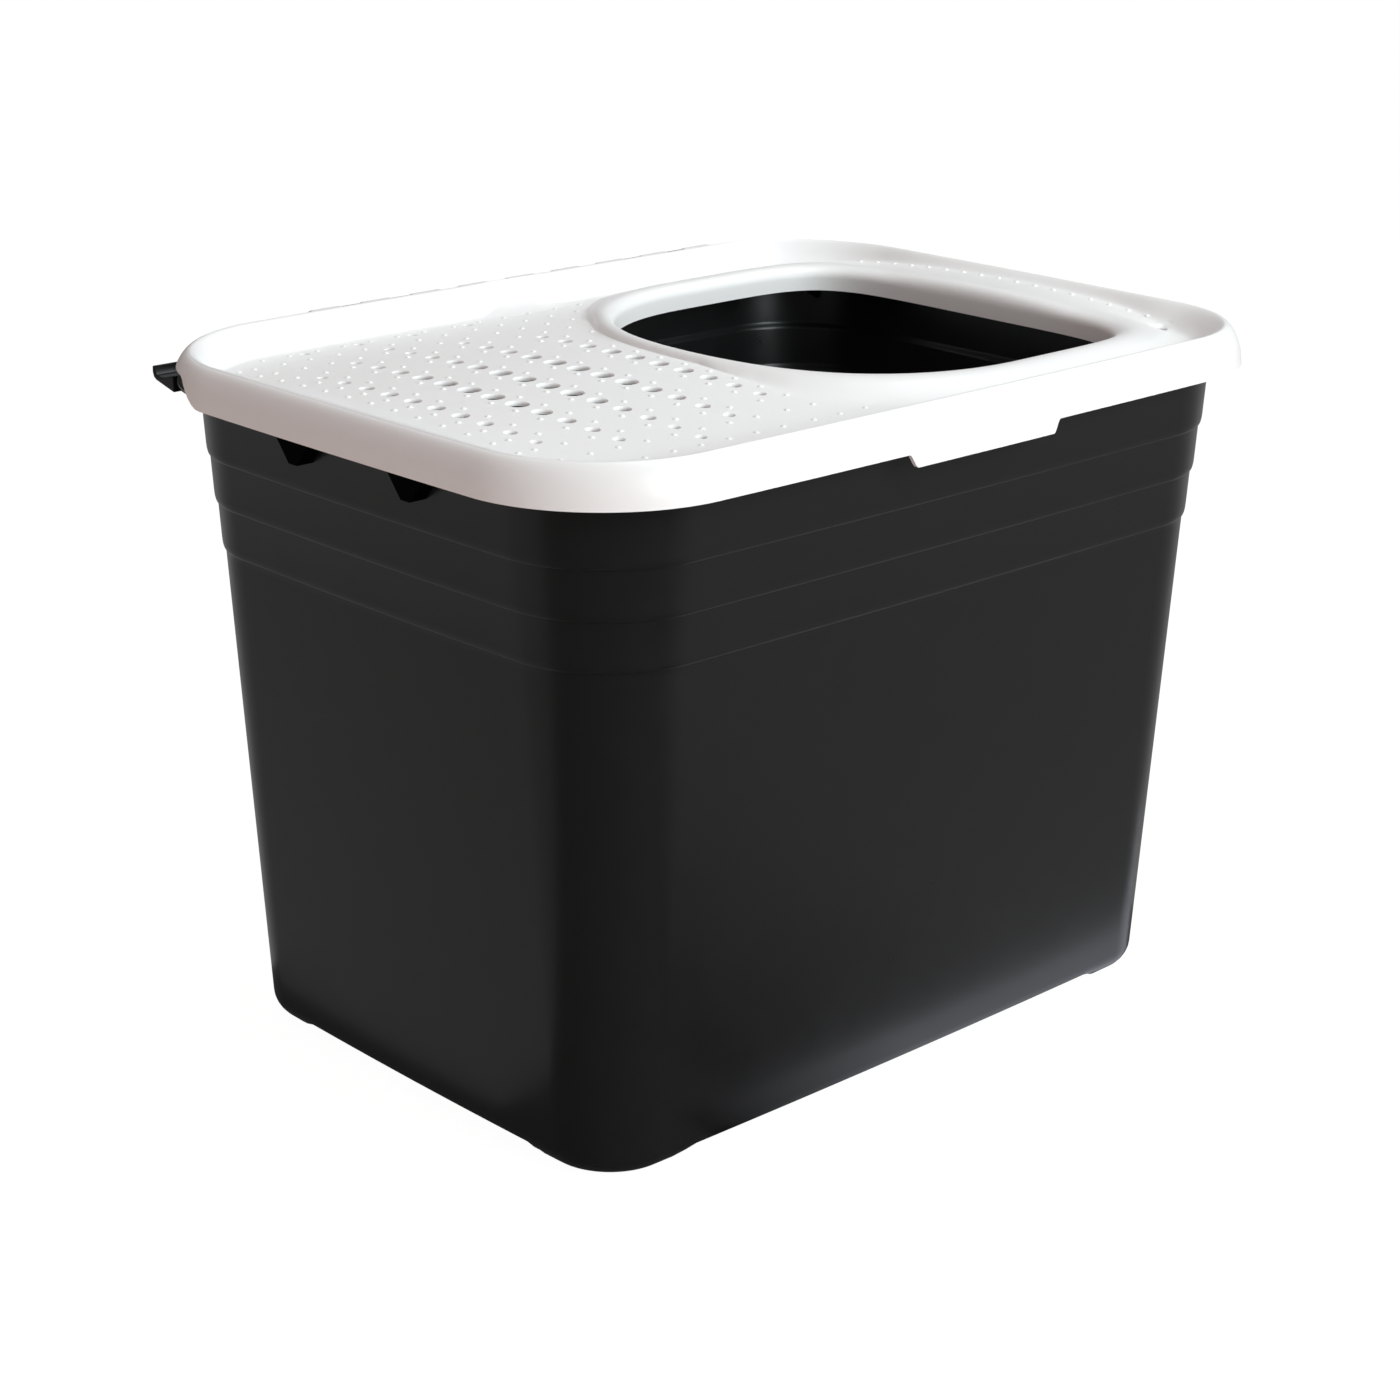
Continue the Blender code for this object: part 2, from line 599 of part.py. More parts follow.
def opening_outline(offset, steps=48):
    """Superellipse of the entry opening, pushed out by an offset, as (x, y) points."""
    half_x = OPENING_LENGTH / 2 + offset
    half_y = OPENING_WIDTH / 2 + offset
    points = []
    for step in range(steps):
        angle = 2 * pi * (step + 0.5) / steps
        c = cos(angle)
        s = sin(angle)
        power = 2 / (OPENING_POWER_RIGHT if c > 0 else OPENING_POWER_LEFT)
        x = half_x * abs(c) ** power * (1 if c > 0 else -1)
        y = half_y * abs(s) ** power * (1 if s > 0 else -1)
        points.append(Vector((OPENING_CENTRE_X + x, y)))
    return points


def opening_tool(tools):
    """Prism that cuts the deck out under the ring."""
    mesh_data = bmesh.new()
    outline = opening_outline(RING_REACH * 0.6)
    low = add_ring(mesh_data, outline, LID_HEIGHT - 2 * COLLAR_DROP)
    high = add_ring(mesh_data, outline, LID_HEIGHT + COLLAR_DROP)
    skin_rings(mesh_data, low, high)
    mesh_data.faces.new(low)
    mesh_data.faces.new(high)
    outward(mesh_data)
    return as_tool(object_from_bmesh("opening_cut", mesh_data, tools))


def ring_section():
    """Closed (offset, height) section of the entry ring, hollow below."""
    crest = LID_HEIGHT - RING_DROP
    collar = LID_HEIGHT - COLLAR_DROP
    foot = deck_height(OPENING_WIDTH / 2 + RING_REACH)
    wall = LID_WALL
    return [(0.0, collar), (0.0, crest - 0.006), (0.0022, crest - 0.0018), (0.0060, crest),
            (0.0098, crest - 0.0014), (RING_REACH, foot), (RING_REACH + wall, foot - 0.6 * wall),
            (RING_REACH - 0.2 * wall, foot - 0.9 * wall),
            (0.0080, crest - 0.0014 - wall), (0.0058, crest - wall),
            (wall + 0.0010, crest - 0.0024 - wall), (wall, crest - 0.0066 - wall), (wall, collar)]


def ring_tool(tools):
    """Raised ring and collar round the entry opening, joined into the lid."""
    mesh_data = bmesh.new()
    rings = [add_ring(mesh_data, opening_outline(offset), height)
             for offset, height in ring_section()]
    for lower, upper in zip(rings, rings[1:] + rings[:1]):
        skin_rings(mesh_data, lower, upper)
    outward(mesh_data)
    return as_tool(object_from_bmesh("entry_ring", mesh_data, tools))


def tab_tool(tools):
    """Lift tab below the middle of the front skirt, joined into the lid."""
    edge = LID_HEIGHT - SKIRT_DROP
    y_out = -(LID_WIDTH / 2 + SIDE_BOW)
    half = TAB_LENGTH / 2
    shoulder = edge + 0.1 * TAB_DROP
    profile = [(-half, edge + TAB_DROP), (-half, shoulder), (-half + TAB_CORNER, edge - TAB_DROP),
               (half - TAB_CORNER, edge - TAB_DROP), (half, shoulder), (half, edge + TAB_DROP)]
    mesh_data = bmesh.new()
    outer = [mesh_data.verts.new((x, y_out + 0.04 * LID_WALL, z)) for x, z in profile]
    inner = [mesh_data.verts.new((x, y_out + LID_WALL, z)) for x, z in profile]
    skin_rings(mesh_data, outer, inner)
    mesh_data.faces.new(outer)
    mesh_data.faces.new(inner)
    outward(mesh_data)
    return as_tool(object_from_bmesh("lift_tab", mesh_data, tools))


def skirt_cut_tool(tools):
    """Removes the skirt along the rear, with an S-shaped rise at each end."""
    edge = LID_HEIGHT - SKIRT_DROP
    rear = LID_WIDTH / 2
    start = rear - SKIRT_CUT_START
    end = rear - SKIRT_CUT_END
    steps = 8
    profile = [(start, edge - SKIRT_CUT_RISE)]
    for step in range(steps + 1):
        share = step / steps
        profile.append((start + (end - start) * share,
                        edge + SKIRT_CUT_RISE * (1 - cos(pi * share)) / 2))
    profile += [(rear + 0.05, edge + SKIRT_CUT_RISE), (rear + 0.05, edge - SKIRT_CUT_RISE)]
    mesh_data = bmesh.new()
    add_prism_x(mesh_data, profile, -LID_LENGTH, LID_LENGTH)
    outward(mesh_data)
    block = as_tool(object_from_bmesh("rear_skirt_cut", mesh_data, tools))

    inner = lid_outline(2.6 * LID_WALL)
    mesh_data = bmesh.new()
    low = add_ring(mesh_data, inner, edge - 2 * SKIRT_CUT_RISE)
    high = add_ring(mesh_data, inner, edge + 2 * SKIRT_CUT_RISE)
    skin_rings(mesh_data, low, high)
    mesh_data.faces.new(low)
    mesh_data.faces.new(high)
    outward(mesh_data)
    keep = as_tool(object_from_bmesh("rear_skirt_keep", mesh_data, tools))
    boolean(block, keep, "DIFFERENCE")
    return block


def hole_places():
    """(x, y, radius) of every hole through the deck, largest along the middle."""
    places = []
    for column, (edge, first, last, share) in enumerate(HOLE_COLUMNS):
        x = edge - LID_LENGTH / 2
        for row in range(first, last + 1):
            away = max(abs(row - HOLE_MIDDLE_ROW) - HOLE_LARGE_ROWS, 0.0)
            radius = (HOLE_LARGE_RADIUS - HOLE_SHRINK * away) * share
            places.append((x, HOLE_ROW_ORIGIN + row * HOLE_ROW_PITCH,
                           max(radius, REAR_HOLE_RADIUS)))
        if column:
            places.append((x, REAR_HOLE_Y, REAR_HOLE_RADIUS))
    places.append((DRAIN_X, DRAIN_Y, DRAIN_RADIUS))
    return places


def hole_tool(tools):
    """All deck holes in one tool."""
    mesh_data = bmesh.new()
    for x, y, radius in hole_places():
        add_cylinder_z(mesh_data, (x, y, LID_HEIGHT - DECK_DROP_EDGE), radius,
                       2 * DECK_DROP_EDGE, 8)
    return as_tool(object_from_bmesh("deck_holes", mesh_data, tools))


def hang_on_frame(parts, tools):
    """Parent every part and tool to one empty that sets the origin."""
    anchor = bpy.data.objects.new("box_frame", None)
    parts.objects.link(anchor)
    anchor.location = (0.0, FRAME_SHIFT_Y, 0.0)
    for item in list(parts.objects) + list(tools.objects):
        if item is not anchor:
            item.parent = anchor


def main():
    """Build every piece of the box."""
    clear_scene()
    parts = new_collection(ASSEMBLY)
    tools = new_collection(f"{ASSEMBLY}_tools")
    black = plastic("tub_plastic", (0.022, 0.022, 0.022), 0.42)
    white = plastic("lid_plastic", (0.86, 0.86, 0.86), 0.38)
    rubber = plastic("pad_rubber", (0.03, 0.03, 0.03), 0.85)
    rod = plastic("rod_plastic", (0.02, 0.02, 0.02), 0.35)
    build_tub(parts, tools, black)
    build_pads(parts, rubber)
    build_lid(parts, tools, white)
    build_rod(parts, rod)
    build_rod_caps(parts, rod)
    hang_on_frame(parts, tools)


main()
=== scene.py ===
"""Looks of a top-entry cat litter box: a satin black tub under a white perforated lid.

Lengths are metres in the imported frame's axes. Shapes are worked out about the tub's own
centre line and moved to the frame's Y when their mesh is made.
"""
import json
import logging
from dataclasses import dataclass
from enum import Enum
from math import pi, radians
from typing import Any, Iterable, Sequence

import bpy
import numpy as np
from mathutils import Matrix, Vector


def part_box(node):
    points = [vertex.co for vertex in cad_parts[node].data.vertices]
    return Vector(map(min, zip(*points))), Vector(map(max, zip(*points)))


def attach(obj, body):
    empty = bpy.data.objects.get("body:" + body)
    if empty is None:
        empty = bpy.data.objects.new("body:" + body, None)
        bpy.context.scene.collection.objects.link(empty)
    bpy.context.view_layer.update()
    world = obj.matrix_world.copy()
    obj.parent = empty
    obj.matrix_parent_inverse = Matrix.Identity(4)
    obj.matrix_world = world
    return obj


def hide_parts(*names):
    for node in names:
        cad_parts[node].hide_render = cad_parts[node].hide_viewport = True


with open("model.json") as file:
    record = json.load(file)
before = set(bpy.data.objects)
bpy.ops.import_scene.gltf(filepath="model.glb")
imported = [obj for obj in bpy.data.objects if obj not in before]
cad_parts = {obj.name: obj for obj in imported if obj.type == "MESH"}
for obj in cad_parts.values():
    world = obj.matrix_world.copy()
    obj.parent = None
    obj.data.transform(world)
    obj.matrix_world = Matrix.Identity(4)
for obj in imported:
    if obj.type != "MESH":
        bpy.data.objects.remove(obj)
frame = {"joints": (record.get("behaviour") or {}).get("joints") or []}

Array = np.ndarray
LOG = logging.getLogger("litter_box")
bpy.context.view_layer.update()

HINGE = next(joint for joint in frame["joints"] if joint["name"] == "lid_hinge")
AXIS_Y, AXIS_Z = HINGE["pos_m"][1:]
LID_LOW, LID_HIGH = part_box("lid")
BOW = 0.0028                                        # the long and short sides stand out this far
LID_HALF_X = LID_HIGH.x - BOW
LID_HALF_Y = (AXIS_Y - LID_LOW.y - BOW) / 2
CENTRE_Y = AXIS_Y - LID_HALF_Y                      # frame Y of the tub's centre line
CREST_Z = LID_HIGH.z
KNUCKLE_PITCH = 0.0366
KNUCKLE_CENTRE_X = 0.0247
KNUCKLE_COUNT = 9
TUB_KNUCKLE_GAPS = (0, 1, 6, 7)
ROD_RADIUS = 0.0019


class Body(Enum):
    """The two bodies that the hinge joins."""

    TUB = "tub"
    LID = "lid"


class Slot(Enum):
    """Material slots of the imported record."""

    TUB = "tub_plastic"
    LID = "lid_plastic"
    ROD = "rod_plastic"
    PAD = "pad_rubber"


class Axis(Enum):
    """Direction that a turned shape's profile runs along, as the order of its coordinates."""

    X = (0, 1, 2)
    Z = (2, 0, 1)


# --- numbers ---------------------------------------------------------------------
def ease(value: Array) -> Array:
    """Smooth step: 0 below 0, 1 above 1, three squares minus two cubes between.

    Args:
        value: any array.

    Returns:
        The eased array.
    """
    t = np.clip(value, 0.0, 1.0)
    return t * t * (3 - 2 * t)


def superellipse_rise(share: Array, power: float) -> Array:
    """Fall-off of a rounded shoulder: one minus share to a power, rooted by that power.

    Args:
        share: height over the shoulder, 0 to 1.
        power: 2 gives a quarter circle.

    Returns:
        Array that is 1 at the foot and 0 at the top.
    """
    return (1 - np.clip(share, 0.0, 1.0) ** power) ** (1 / power)


def spread(half: float, spacing: float, focuses: Iterable[tuple[float, float, float]] = ()) -> Array:
    """Stations along a side, closer together at each focus.

    The running integral of the wanted density is cut into equal steps.

    Args:
        half: half length of the side.
        spacing: usual distance between stations.
        focuses: (place, reach, spacing) of each denser stretch.

    Returns:
        Places as shares of the half length, from -1 to 1, without the ends.
    """
    fine = np.linspace(-half, half, 6001)
    density = np.full_like(fine, 1 / spacing)
    for place, reach, close in focuses:
        density = np.maximum(density, np.where(np.abs(fine - place) < reach, 1 / close, 0.0))
    steps = np.concatenate(([0.0], np.cumsum((density[1:] + density[:-1]) / 2 * np.diff(fine))))
    count = int(round(steps[-1]))
    return np.interp(np.linspace(0, steps[-1], count + 1), steps, fine)[1:-1] / half


@dataclass(frozen=True)
class Walk:
    """Stations round a rounded rectangle, counter-clockwise from its +X side.

    Each station has the shares (a, b) of the corner centres and the angle of its normal, so
    a point is (a (half_x - r) + r cos, b (half_y - r) + r sin) for any size and corner radius.
    """

    a: Array
    b: Array
    angle: Array

    @classmethod
    def around(cls, ends: Array, rear: Array, front: Array, arc_steps: int) -> "Walk":
        """Join four sides and four corner arcs.

        Args:
            ends: stations along the two short sides.
            rear: stations along the rear side.
            front: stations along the front side.
            arc_steps: steps of each corner arc.

        Returns:
            The walk.
        """
        arc = np.linspace(0, pi / 2, arc_steps + 1)
        runs = []
        for turn, (corner, side) in enumerate((((1, 1), rear[::-1]), ((-1, 1), ends[::-1]),
                                               ((-1, -1), front), ((1, -1), ends))):
            runs.append((np.full(arc.shape, corner[0]), np.full(arc.shape, corner[1]),
                         arc + turn * pi / 2))
            fixed = np.full(side.shape, (1, -1, -1, 1)[turn])
            across = turn in (0, 2)
            runs.append((side if across else fixed, fixed if across else side,
                         np.full(side.shape, (turn + 1) * pi / 2)))
        a, b, angle = (np.concatenate(part) for part in zip(*runs))
        return cls(a.astype(float), b.astype(float), angle)

    def outline(self, half_x: Array, half_y: Array, radius: Array) -> tuple[Array, Array]:
        """Outline with slightly bowed sides.

        Args:
            half_x: half length, a number or a column of them.
            half_y: half width, likewise.
            radius: corner radius, likewise.

        Returns:
            X and Y arrays, one row for each given size.
        """
        x = self.a * (half_x - radius) + radius * np.cos(self.angle)
        y = self.b * (half_y - radius) + radius * np.sin(self.angle)
        across_x, across_y = x / half_x, y / half_y
        return (x + BOW * across_x * (1 - across_y ** 2), y + BOW * across_y * (1 - across_x ** 2))


# --- shapes ----------------------------------------------------------------------
@dataclass
class Shape:
    """A closed surface as arrays: points, quads, triangles and flat end faces."""

    points: Array
    quads: Array
    triangles: Array
    ends: list[list[int]]

    @classmethod
    def loft(cls, rings: Array, low: Array | None = None, high: Array | None = None) -> "Shape":
        """Skin a grid of rings; rows wrap into a torus unless both poles are given.

        Args:
            rings: points as (row, station, 3), counter-clockwise seen against the rows.
            low: pole that closes the first ring.
            high: pole that closes the last ring.

        Returns:
            The shape.
        """
        rows, columns = rings.shape[:2]
        row = np.arange(rows if low is None else rows - 1)[:, None] * columns
        above = (row + columns) % (rows * columns)
        here, beside = np.arange(columns), (np.arange(columns) + 1) % columns
        quads = np.stack((row + here, row + beside, above + beside, above + here), -1).reshape(-1, 4)
        points = rings.reshape(-1, 3)
        triangles = np.zeros((0, 3), int)
        if low is not None:
            first, last = len(points), len(points) + 1
            points = np.concatenate((points, [low, high]))
            top = (rows - 1) * columns
            triangles = np.concatenate((
                np.stack((beside, here, np.full(columns, first)), -1),
                np.stack((top + here, top + beside, np.full(columns, last)), -1)))
        return cls(points, quads, triangles, [])

    @classmethod
    def turned(cls, profile: Sequence[tuple[float, float]], axis: Axis, steps: int) -> "Shape":
        """Turn a profile of (along, radius) about an axis; its two ends lie on the axis.

        Args:
            profile: points from the low end to the high end.
            axis: axis of the turning.
            steps: stations round it.

        Returns:
            The shape, about the origin.
        """
        line = np.array(profile)
        angle = np.linspace(0, 2 * pi, steps, endpoint=False)
        along = np.repeat(line[1:-1, :1], steps, 1)
        parts = np.stack((along, line[1:-1, 1:] * np.cos(angle), line[1:-1, 1:] * np.sin(angle)), -1)
        order = list(np.argsort(axis.value))
        poles = np.array([(line[0, 0], 0, 0), (line[-1, 0], 0, 0)])[:, order]
        return cls.loft(parts[..., order], poles[0], poles[1])

    @classmethod
    def prism(cls, section: Sequence[tuple[float, float]], start: float, end: float) -> "Shape":
        """Carry a counter-clockwise (y, z) section along X, with flat ends.

        Args:
            section: corners of the section.
            start: X of the first end.
            end: X of the second end, beyond the first.

        Returns:
            The shape.
        """
        line = np.array(section)
        rings = np.stack([np.column_stack((np.full(len(line), x), line)) for x in (start, end)])
        count = len(line)
        here, beside = np.arange(count), (np.arange(count) + 1) % count
        quads = np.stack((here, beside, beside + count, here + count), -1)
        ends = [list(range(count))[::-1], list(range(count, 2 * count))]
        return cls(rings.reshape(-1, 3), quads, np.zeros((0, 3), int), ends)

    def repeated(self, places: Array, scales: Array | None = None) -> "Shape":
        """Copies of the shape at places, each stretched by its own scale.

        Args:
            places: (count, 3) positions.
            scales: (count, 3) stretches, or none.

        Returns:
            All the copies as one shape.
        """
        places = np.asarray(places, float)
        scales = np.ones_like(places) if scales is None else np.asarray(scales, float)
        points = self.points[None] * scales[:, None] + places[:, None]
        shift = np.arange(len(places))[:, None, None] * len(self.points)
        ends = [[index + int(step) for index in face] for step in shift.ravel() for face in self.ends]
        return Shape(points.reshape(-1, 3), (self.quads[None] + shift).reshape(-1, 4),
                     (self.triangles[None] + shift).reshape(-1, 3), ends)

    def joined(self, other: "Shape") -> "Shape":
        """Both shapes as one, side by side in the arrays.

        Args:
            other: the other shape.

        Returns:
            The joined shape.
        """
        shift = len(self.points)
        return Shape(np.concatenate((self.points, other.points)),
                     np.concatenate((self.quads, other.quads + shift)),
                     np.concatenate((self.triangles, other.triangles + shift)),
                     self.ends + [[index + shift for index in face] for face in other.ends])

    def make(self, name: str, sharp: float = 30.0) -> bpy.types.Object:
        """Put the shape into a mesh object, moved to the frame's own Y.

        Args:
            name: object name.
            sharp: edges that turn by more than this many degrees stay crisp.

        Returns:
            The object, at the origin.
        """
        mesh = bpy.data.meshes.new(name)
        faces = self.quads.tolist() + self.triangles.tolist() + self.ends
        mesh.from_pydata((self.points + (0.0, CENTRE_Y, 0.0)).tolist(), [], faces)
        mesh.validate()
        smooth_faces(mesh, sharp)
        item = bpy.data.objects.new(name, mesh)
        bpy.context.scene.collection.objects.link(item)
        return item


def smooth_faces(mesh: bpy.types.Mesh, sharp: float) -> None:
    """Shade a mesh smooth, with crisp edges above an angle in degrees."""
    mesh.shade_smooth()
    mesh.set_sharp_from_angle(angle=radians(sharp))


def combine(base: bpy.types.Object, tool: bpy.types.Object, operation: str) -> None:
    """Join a closed tool to a closed mesh, or cut it out, and remove the tool.

    Args:
        base: object whose mesh is rebuilt.
        tool: object that is used up.
        operation: UNION or DIFFERENCE.
    """
    step = base.modifiers.new(operation.lower(), "BOOLEAN")
    step.operation = operation
    step.solver = "MANIFOLD"
    step.object = tool
    graph = bpy.context.evaluated_depsgraph_get()
    rebuilt = bpy.data.meshes.new_from_object(base.evaluated_get(graph))
    base.modifiers.clear()
    base.data = rebuilt
    bpy.data.objects.remove(tool)


def soften(item: bpy.types.Object, width: float, segments: int = 2) -> None:
    """Round the crisp edges of a piece.

    Args:
        item: the piece.
        width: width of the rounding.
        segments: faces across it.
    """
    bevel = item.modifiers.new("edges", "BEVEL")
    bevel.width = width
    bevel.segments = segments
    bevel.limit_method = "ANGLE"
    bevel.angle_limit = radians(35)


def settle(item: bpy.types.Object, body: Body, replaced: Sequence[str],
           material: bpy.types.Material) -> None:
    """Dress a finished piece, hang it on its body and report it.

    Args:
        item: the piece.
        body: body that it rides on.
        replaced: CAD nodes that it stands for.
        material: its material.
    """
    item.data.materials.clear()
    item.data.materials.append(material)
    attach(item, body.value)
    if replaced:
        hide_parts(*replaced)
    item.data.calc_loop_triangles()
    LOG.info("%s: %d triangles on %s", item.name, len(item.data.loop_triangles), body.value)


# --- materials -------------------------------------------------------------------
class Nodes:
    """Makes the nodes of one node tree."""

    def __init__(self, tree: bpy.types.NodeTree) -> None:
        """Start from an empty tree."""
        self.tree = tree
        tree.nodes.clear()

    def node(self, kind: str, settings: dict[str, Any] | None = None,
             inputs: dict[Any, Any] | None = None) -> bpy.types.Node:
        """Make a node.

        Args:
            kind: node type.
            settings: attributes, set first; "stops" are a ramp's (place, colour) pairs.
            inputs: value or link of each socket, by name or number.

        Returns:
            The node.
        """
        made = self.tree.nodes.new(kind)
        for key, value in (settings or {}).items():
            if key == "stops":
                elements = made.color_ramp.elements
                for index, (place, colour) in enumerate(value):
                    stop = elements[index] if index < len(elements) else elements.new(place)
                    stop.position = place
                    stop.color = colour
            else:
                setattr(made, key, value)
        for key, value in (inputs or {}).items():
            self.feed(made.inputs[key], value)
        return made

    def feed(self, socket: bpy.types.NodeSocket, value: Any) -> None:
        """Set a socket's value, or link it to another's output.

        Args:
            socket: input that gets it.
            value: number, colour, socket or wire.
        """
        if isinstance(value, Wire):
            value = value.socket
        if isinstance(value, bpy.types.NodeSocket):
            self.tree.links.new(value, socket)
        else:
            socket.default_value = value

    def wire(self, kind: str, output: Any, settings: dict[str, Any] | None = None,
             inputs: dict[Any, Any] | None = None) -> "Wire":
        """Make a node and wrap one of its outputs."""
        return Wire(self, self.node(kind, settings, inputs).outputs[output])


class Wire:
    """A number socket that can be used in Python expressions."""

    def __init__(self, nodes: Nodes, socket: bpy.types.NodeSocket) -> None:
        """Wrap a socket of a tree."""
        self.nodes = nodes
        self.socket = socket

    def _math(self, operation: str, *values: Any, clamp: bool = False) -> "Wire":
        """Add a Math node on these values."""
        return self.nodes.wire("ShaderNodeMath", 0, {"operation": operation, "use_clamp": clamp},
                               dict(enumerate(values)))

    def __add__(self, other: Any) -> "Wire":
        """Sum."""
        return self._math("ADD", self, other)

    __radd__ = __add__

    def __sub__(self, other: Any) -> "Wire":
        """Difference."""
        return self._math("SUBTRACT", self, other)

    def __rsub__(self, other: Any) -> "Wire":
        """Difference from a number."""
        return self._math("SUBTRACT", other, self)

    def __mul__(self, other: Any) -> "Wire":
        """Product."""
        return self._math("MULTIPLY", self, other)

    __rmul__ = __mul__

    def __abs__(self) -> "Wire":
        """Size without its sign."""
        return self._math("ABSOLUTE", self)

    def clamped(self) -> "Wire":
        """The value held between 0 and 1."""
        return self._math("ADD", self, 0.0, clamp=True)


@dataclass(frozen=True)
class Moulded:
    """A moulded plastic or rubber: base colour, sheen of the tool's polish and its grain."""

    name: str
    colour: tuple[float, float, float]
    roughness: float
    grain_size: float            # metres across one grain of the mould's texture
    grain_depth: float
    ripple_depth: float          # slow unevenness of a large cooled wall
    tone_change: float = 0.04
    deck_roughness: float = 0.0  # added where the walked-on deck is textured
    deck_grain: float = 0.0      # extra grain depth there
    gloss: float = 0.5           # specular level, 0.5 for plain plastic

    def deck_mask(self, nodes: Nodes, place: Wire) -> Wire:
        """1 on the lid's sunken deck and 0 on its rim, from the distance to the rim's foot.

        Args:
            nodes: the tree's maker.
            place: object coordinates.

        Returns:
            The mask.
        """
        split = nodes.node("ShaderNodeSeparateXYZ", None, {0: place})
        x, y, z = (Wire(nodes, output) for output in split.outputs)
        inside_x = ((LID_HALF_X - 0.026 - abs(x)) * 400).clamped()
        inside_y = ((LID_HALF_Y - 0.028 - abs(y - CENTRE_Y)) * 400).clamped()
        below = ((CREST_Z - 0.0092 - z) * 700).clamped()
        return inside_x * inside_y * below

    def build(self) -> bpy.types.Material:
        """Make the material.

        Colour, roughness and bump come from three noises on object coordinates: slow ripples,
        patches of wear, and the fine grain of the mould.

        Returns:
            The material.
        """
        material = bpy.data.materials.new(self.name)
        material.use_nodes = True
        nodes = Nodes(material.node_tree)
        place = nodes.wire("ShaderNodeTexCoord", "Object")
        ripple = nodes.wire("ShaderNodeTexNoise", 0, None,
                            {"Vector": place, "Scale": 11.0, "Detail": 1.5, "Roughness": 0.4})
        patches = nodes.wire("ShaderNodeTexNoise", 0, None,
                             {"Vector": place, "Scale": 46.0, "Detail": 5.0, "Roughness": 0.62})
        grain = nodes.wire("ShaderNodeTexNoise", 0, None,
                           {"Vector": place, "Scale": 1 / self.grain_size, "Detail": 3.0,
                            "Roughness": 0.55})
        if self.deck_roughness:
            deck = self.deck_mask(nodes, place)
            roughness = self.roughness + deck * self.deck_roughness + (patches - 0.5) * 0.10
            grain_height = grain * (deck * self.deck_grain + self.grain_depth)
        else:
            roughness = self.roughness + (patches - 0.5) * 0.12
            grain_height = grain * self.grain_depth
        darker = tuple(part * (1 - self.tone_change) for part in self.colour)
        lighter = tuple(part * (1 + self.tone_change) for part in self.colour)
        mixed = nodes.node("ShaderNodeMix", {"data_type": "RGBA"},
                           {"Factor": patches * 0.6 + ripple * 0.4, "A": (*darker, 1.0),
                            "B": (*lighter, 1.0)})
        slow = nodes.node("ShaderNodeBump", None, {"Height": ripple * self.ripple_depth,
                                                   "Distance": 1.0, "Strength": 1.0})
        fine = nodes.node("ShaderNodeBump", None, {"Height": grain_height, "Distance": 1.0,
                                                   "Strength": 1.0, "Normal": slow.outputs[0]})
        shader = nodes.node("ShaderNodeBsdfPrincipled", None,
                            {"Base Color": mixed.outputs["Result"], "Roughness": roughness,
                             "Specular IOR Level": self.gloss, "Normal": fine.outputs[0]})
        nodes.node("ShaderNodeOutputMaterial", None, {"Surface": shader.outputs[0]})
        return material


TUB_BLACK = Moulded("tub_black", (0.0090, 0.0091, 0.0093), 0.30, 0.0009, 0.000012, 0.00025, 0.10)
# Painted shade: the ribs get a darker, rough, almost specular-free copy of the tub's black to stand for
# the shadow under the lid's skirt.
RIB_PAINTED_SHADE = Moulded("rib_painted_shade", (0.0012, 0.0012, 0.0012), 0.80, 0.0009, 0.000012, 0.0, 0.10,
                    gloss=0.05)
ROD_BLACK = Moulded("rod_black", (0.012, 0.012, 0.012), 0.38, 0.0006, 0.000012, 0.0)
LID_WHITE = Moulded("lid_white", (0.865, 0.865, 0.862), 0.33, 0.0008, 0.000010, 0.00010, 0.008,
                    0.16, 0.000022)
PAD_BLACK = Moulded("pad_black", (0.018, 0.018, 0.019), 0.72, 0.0005, 0.00004, 0.0)


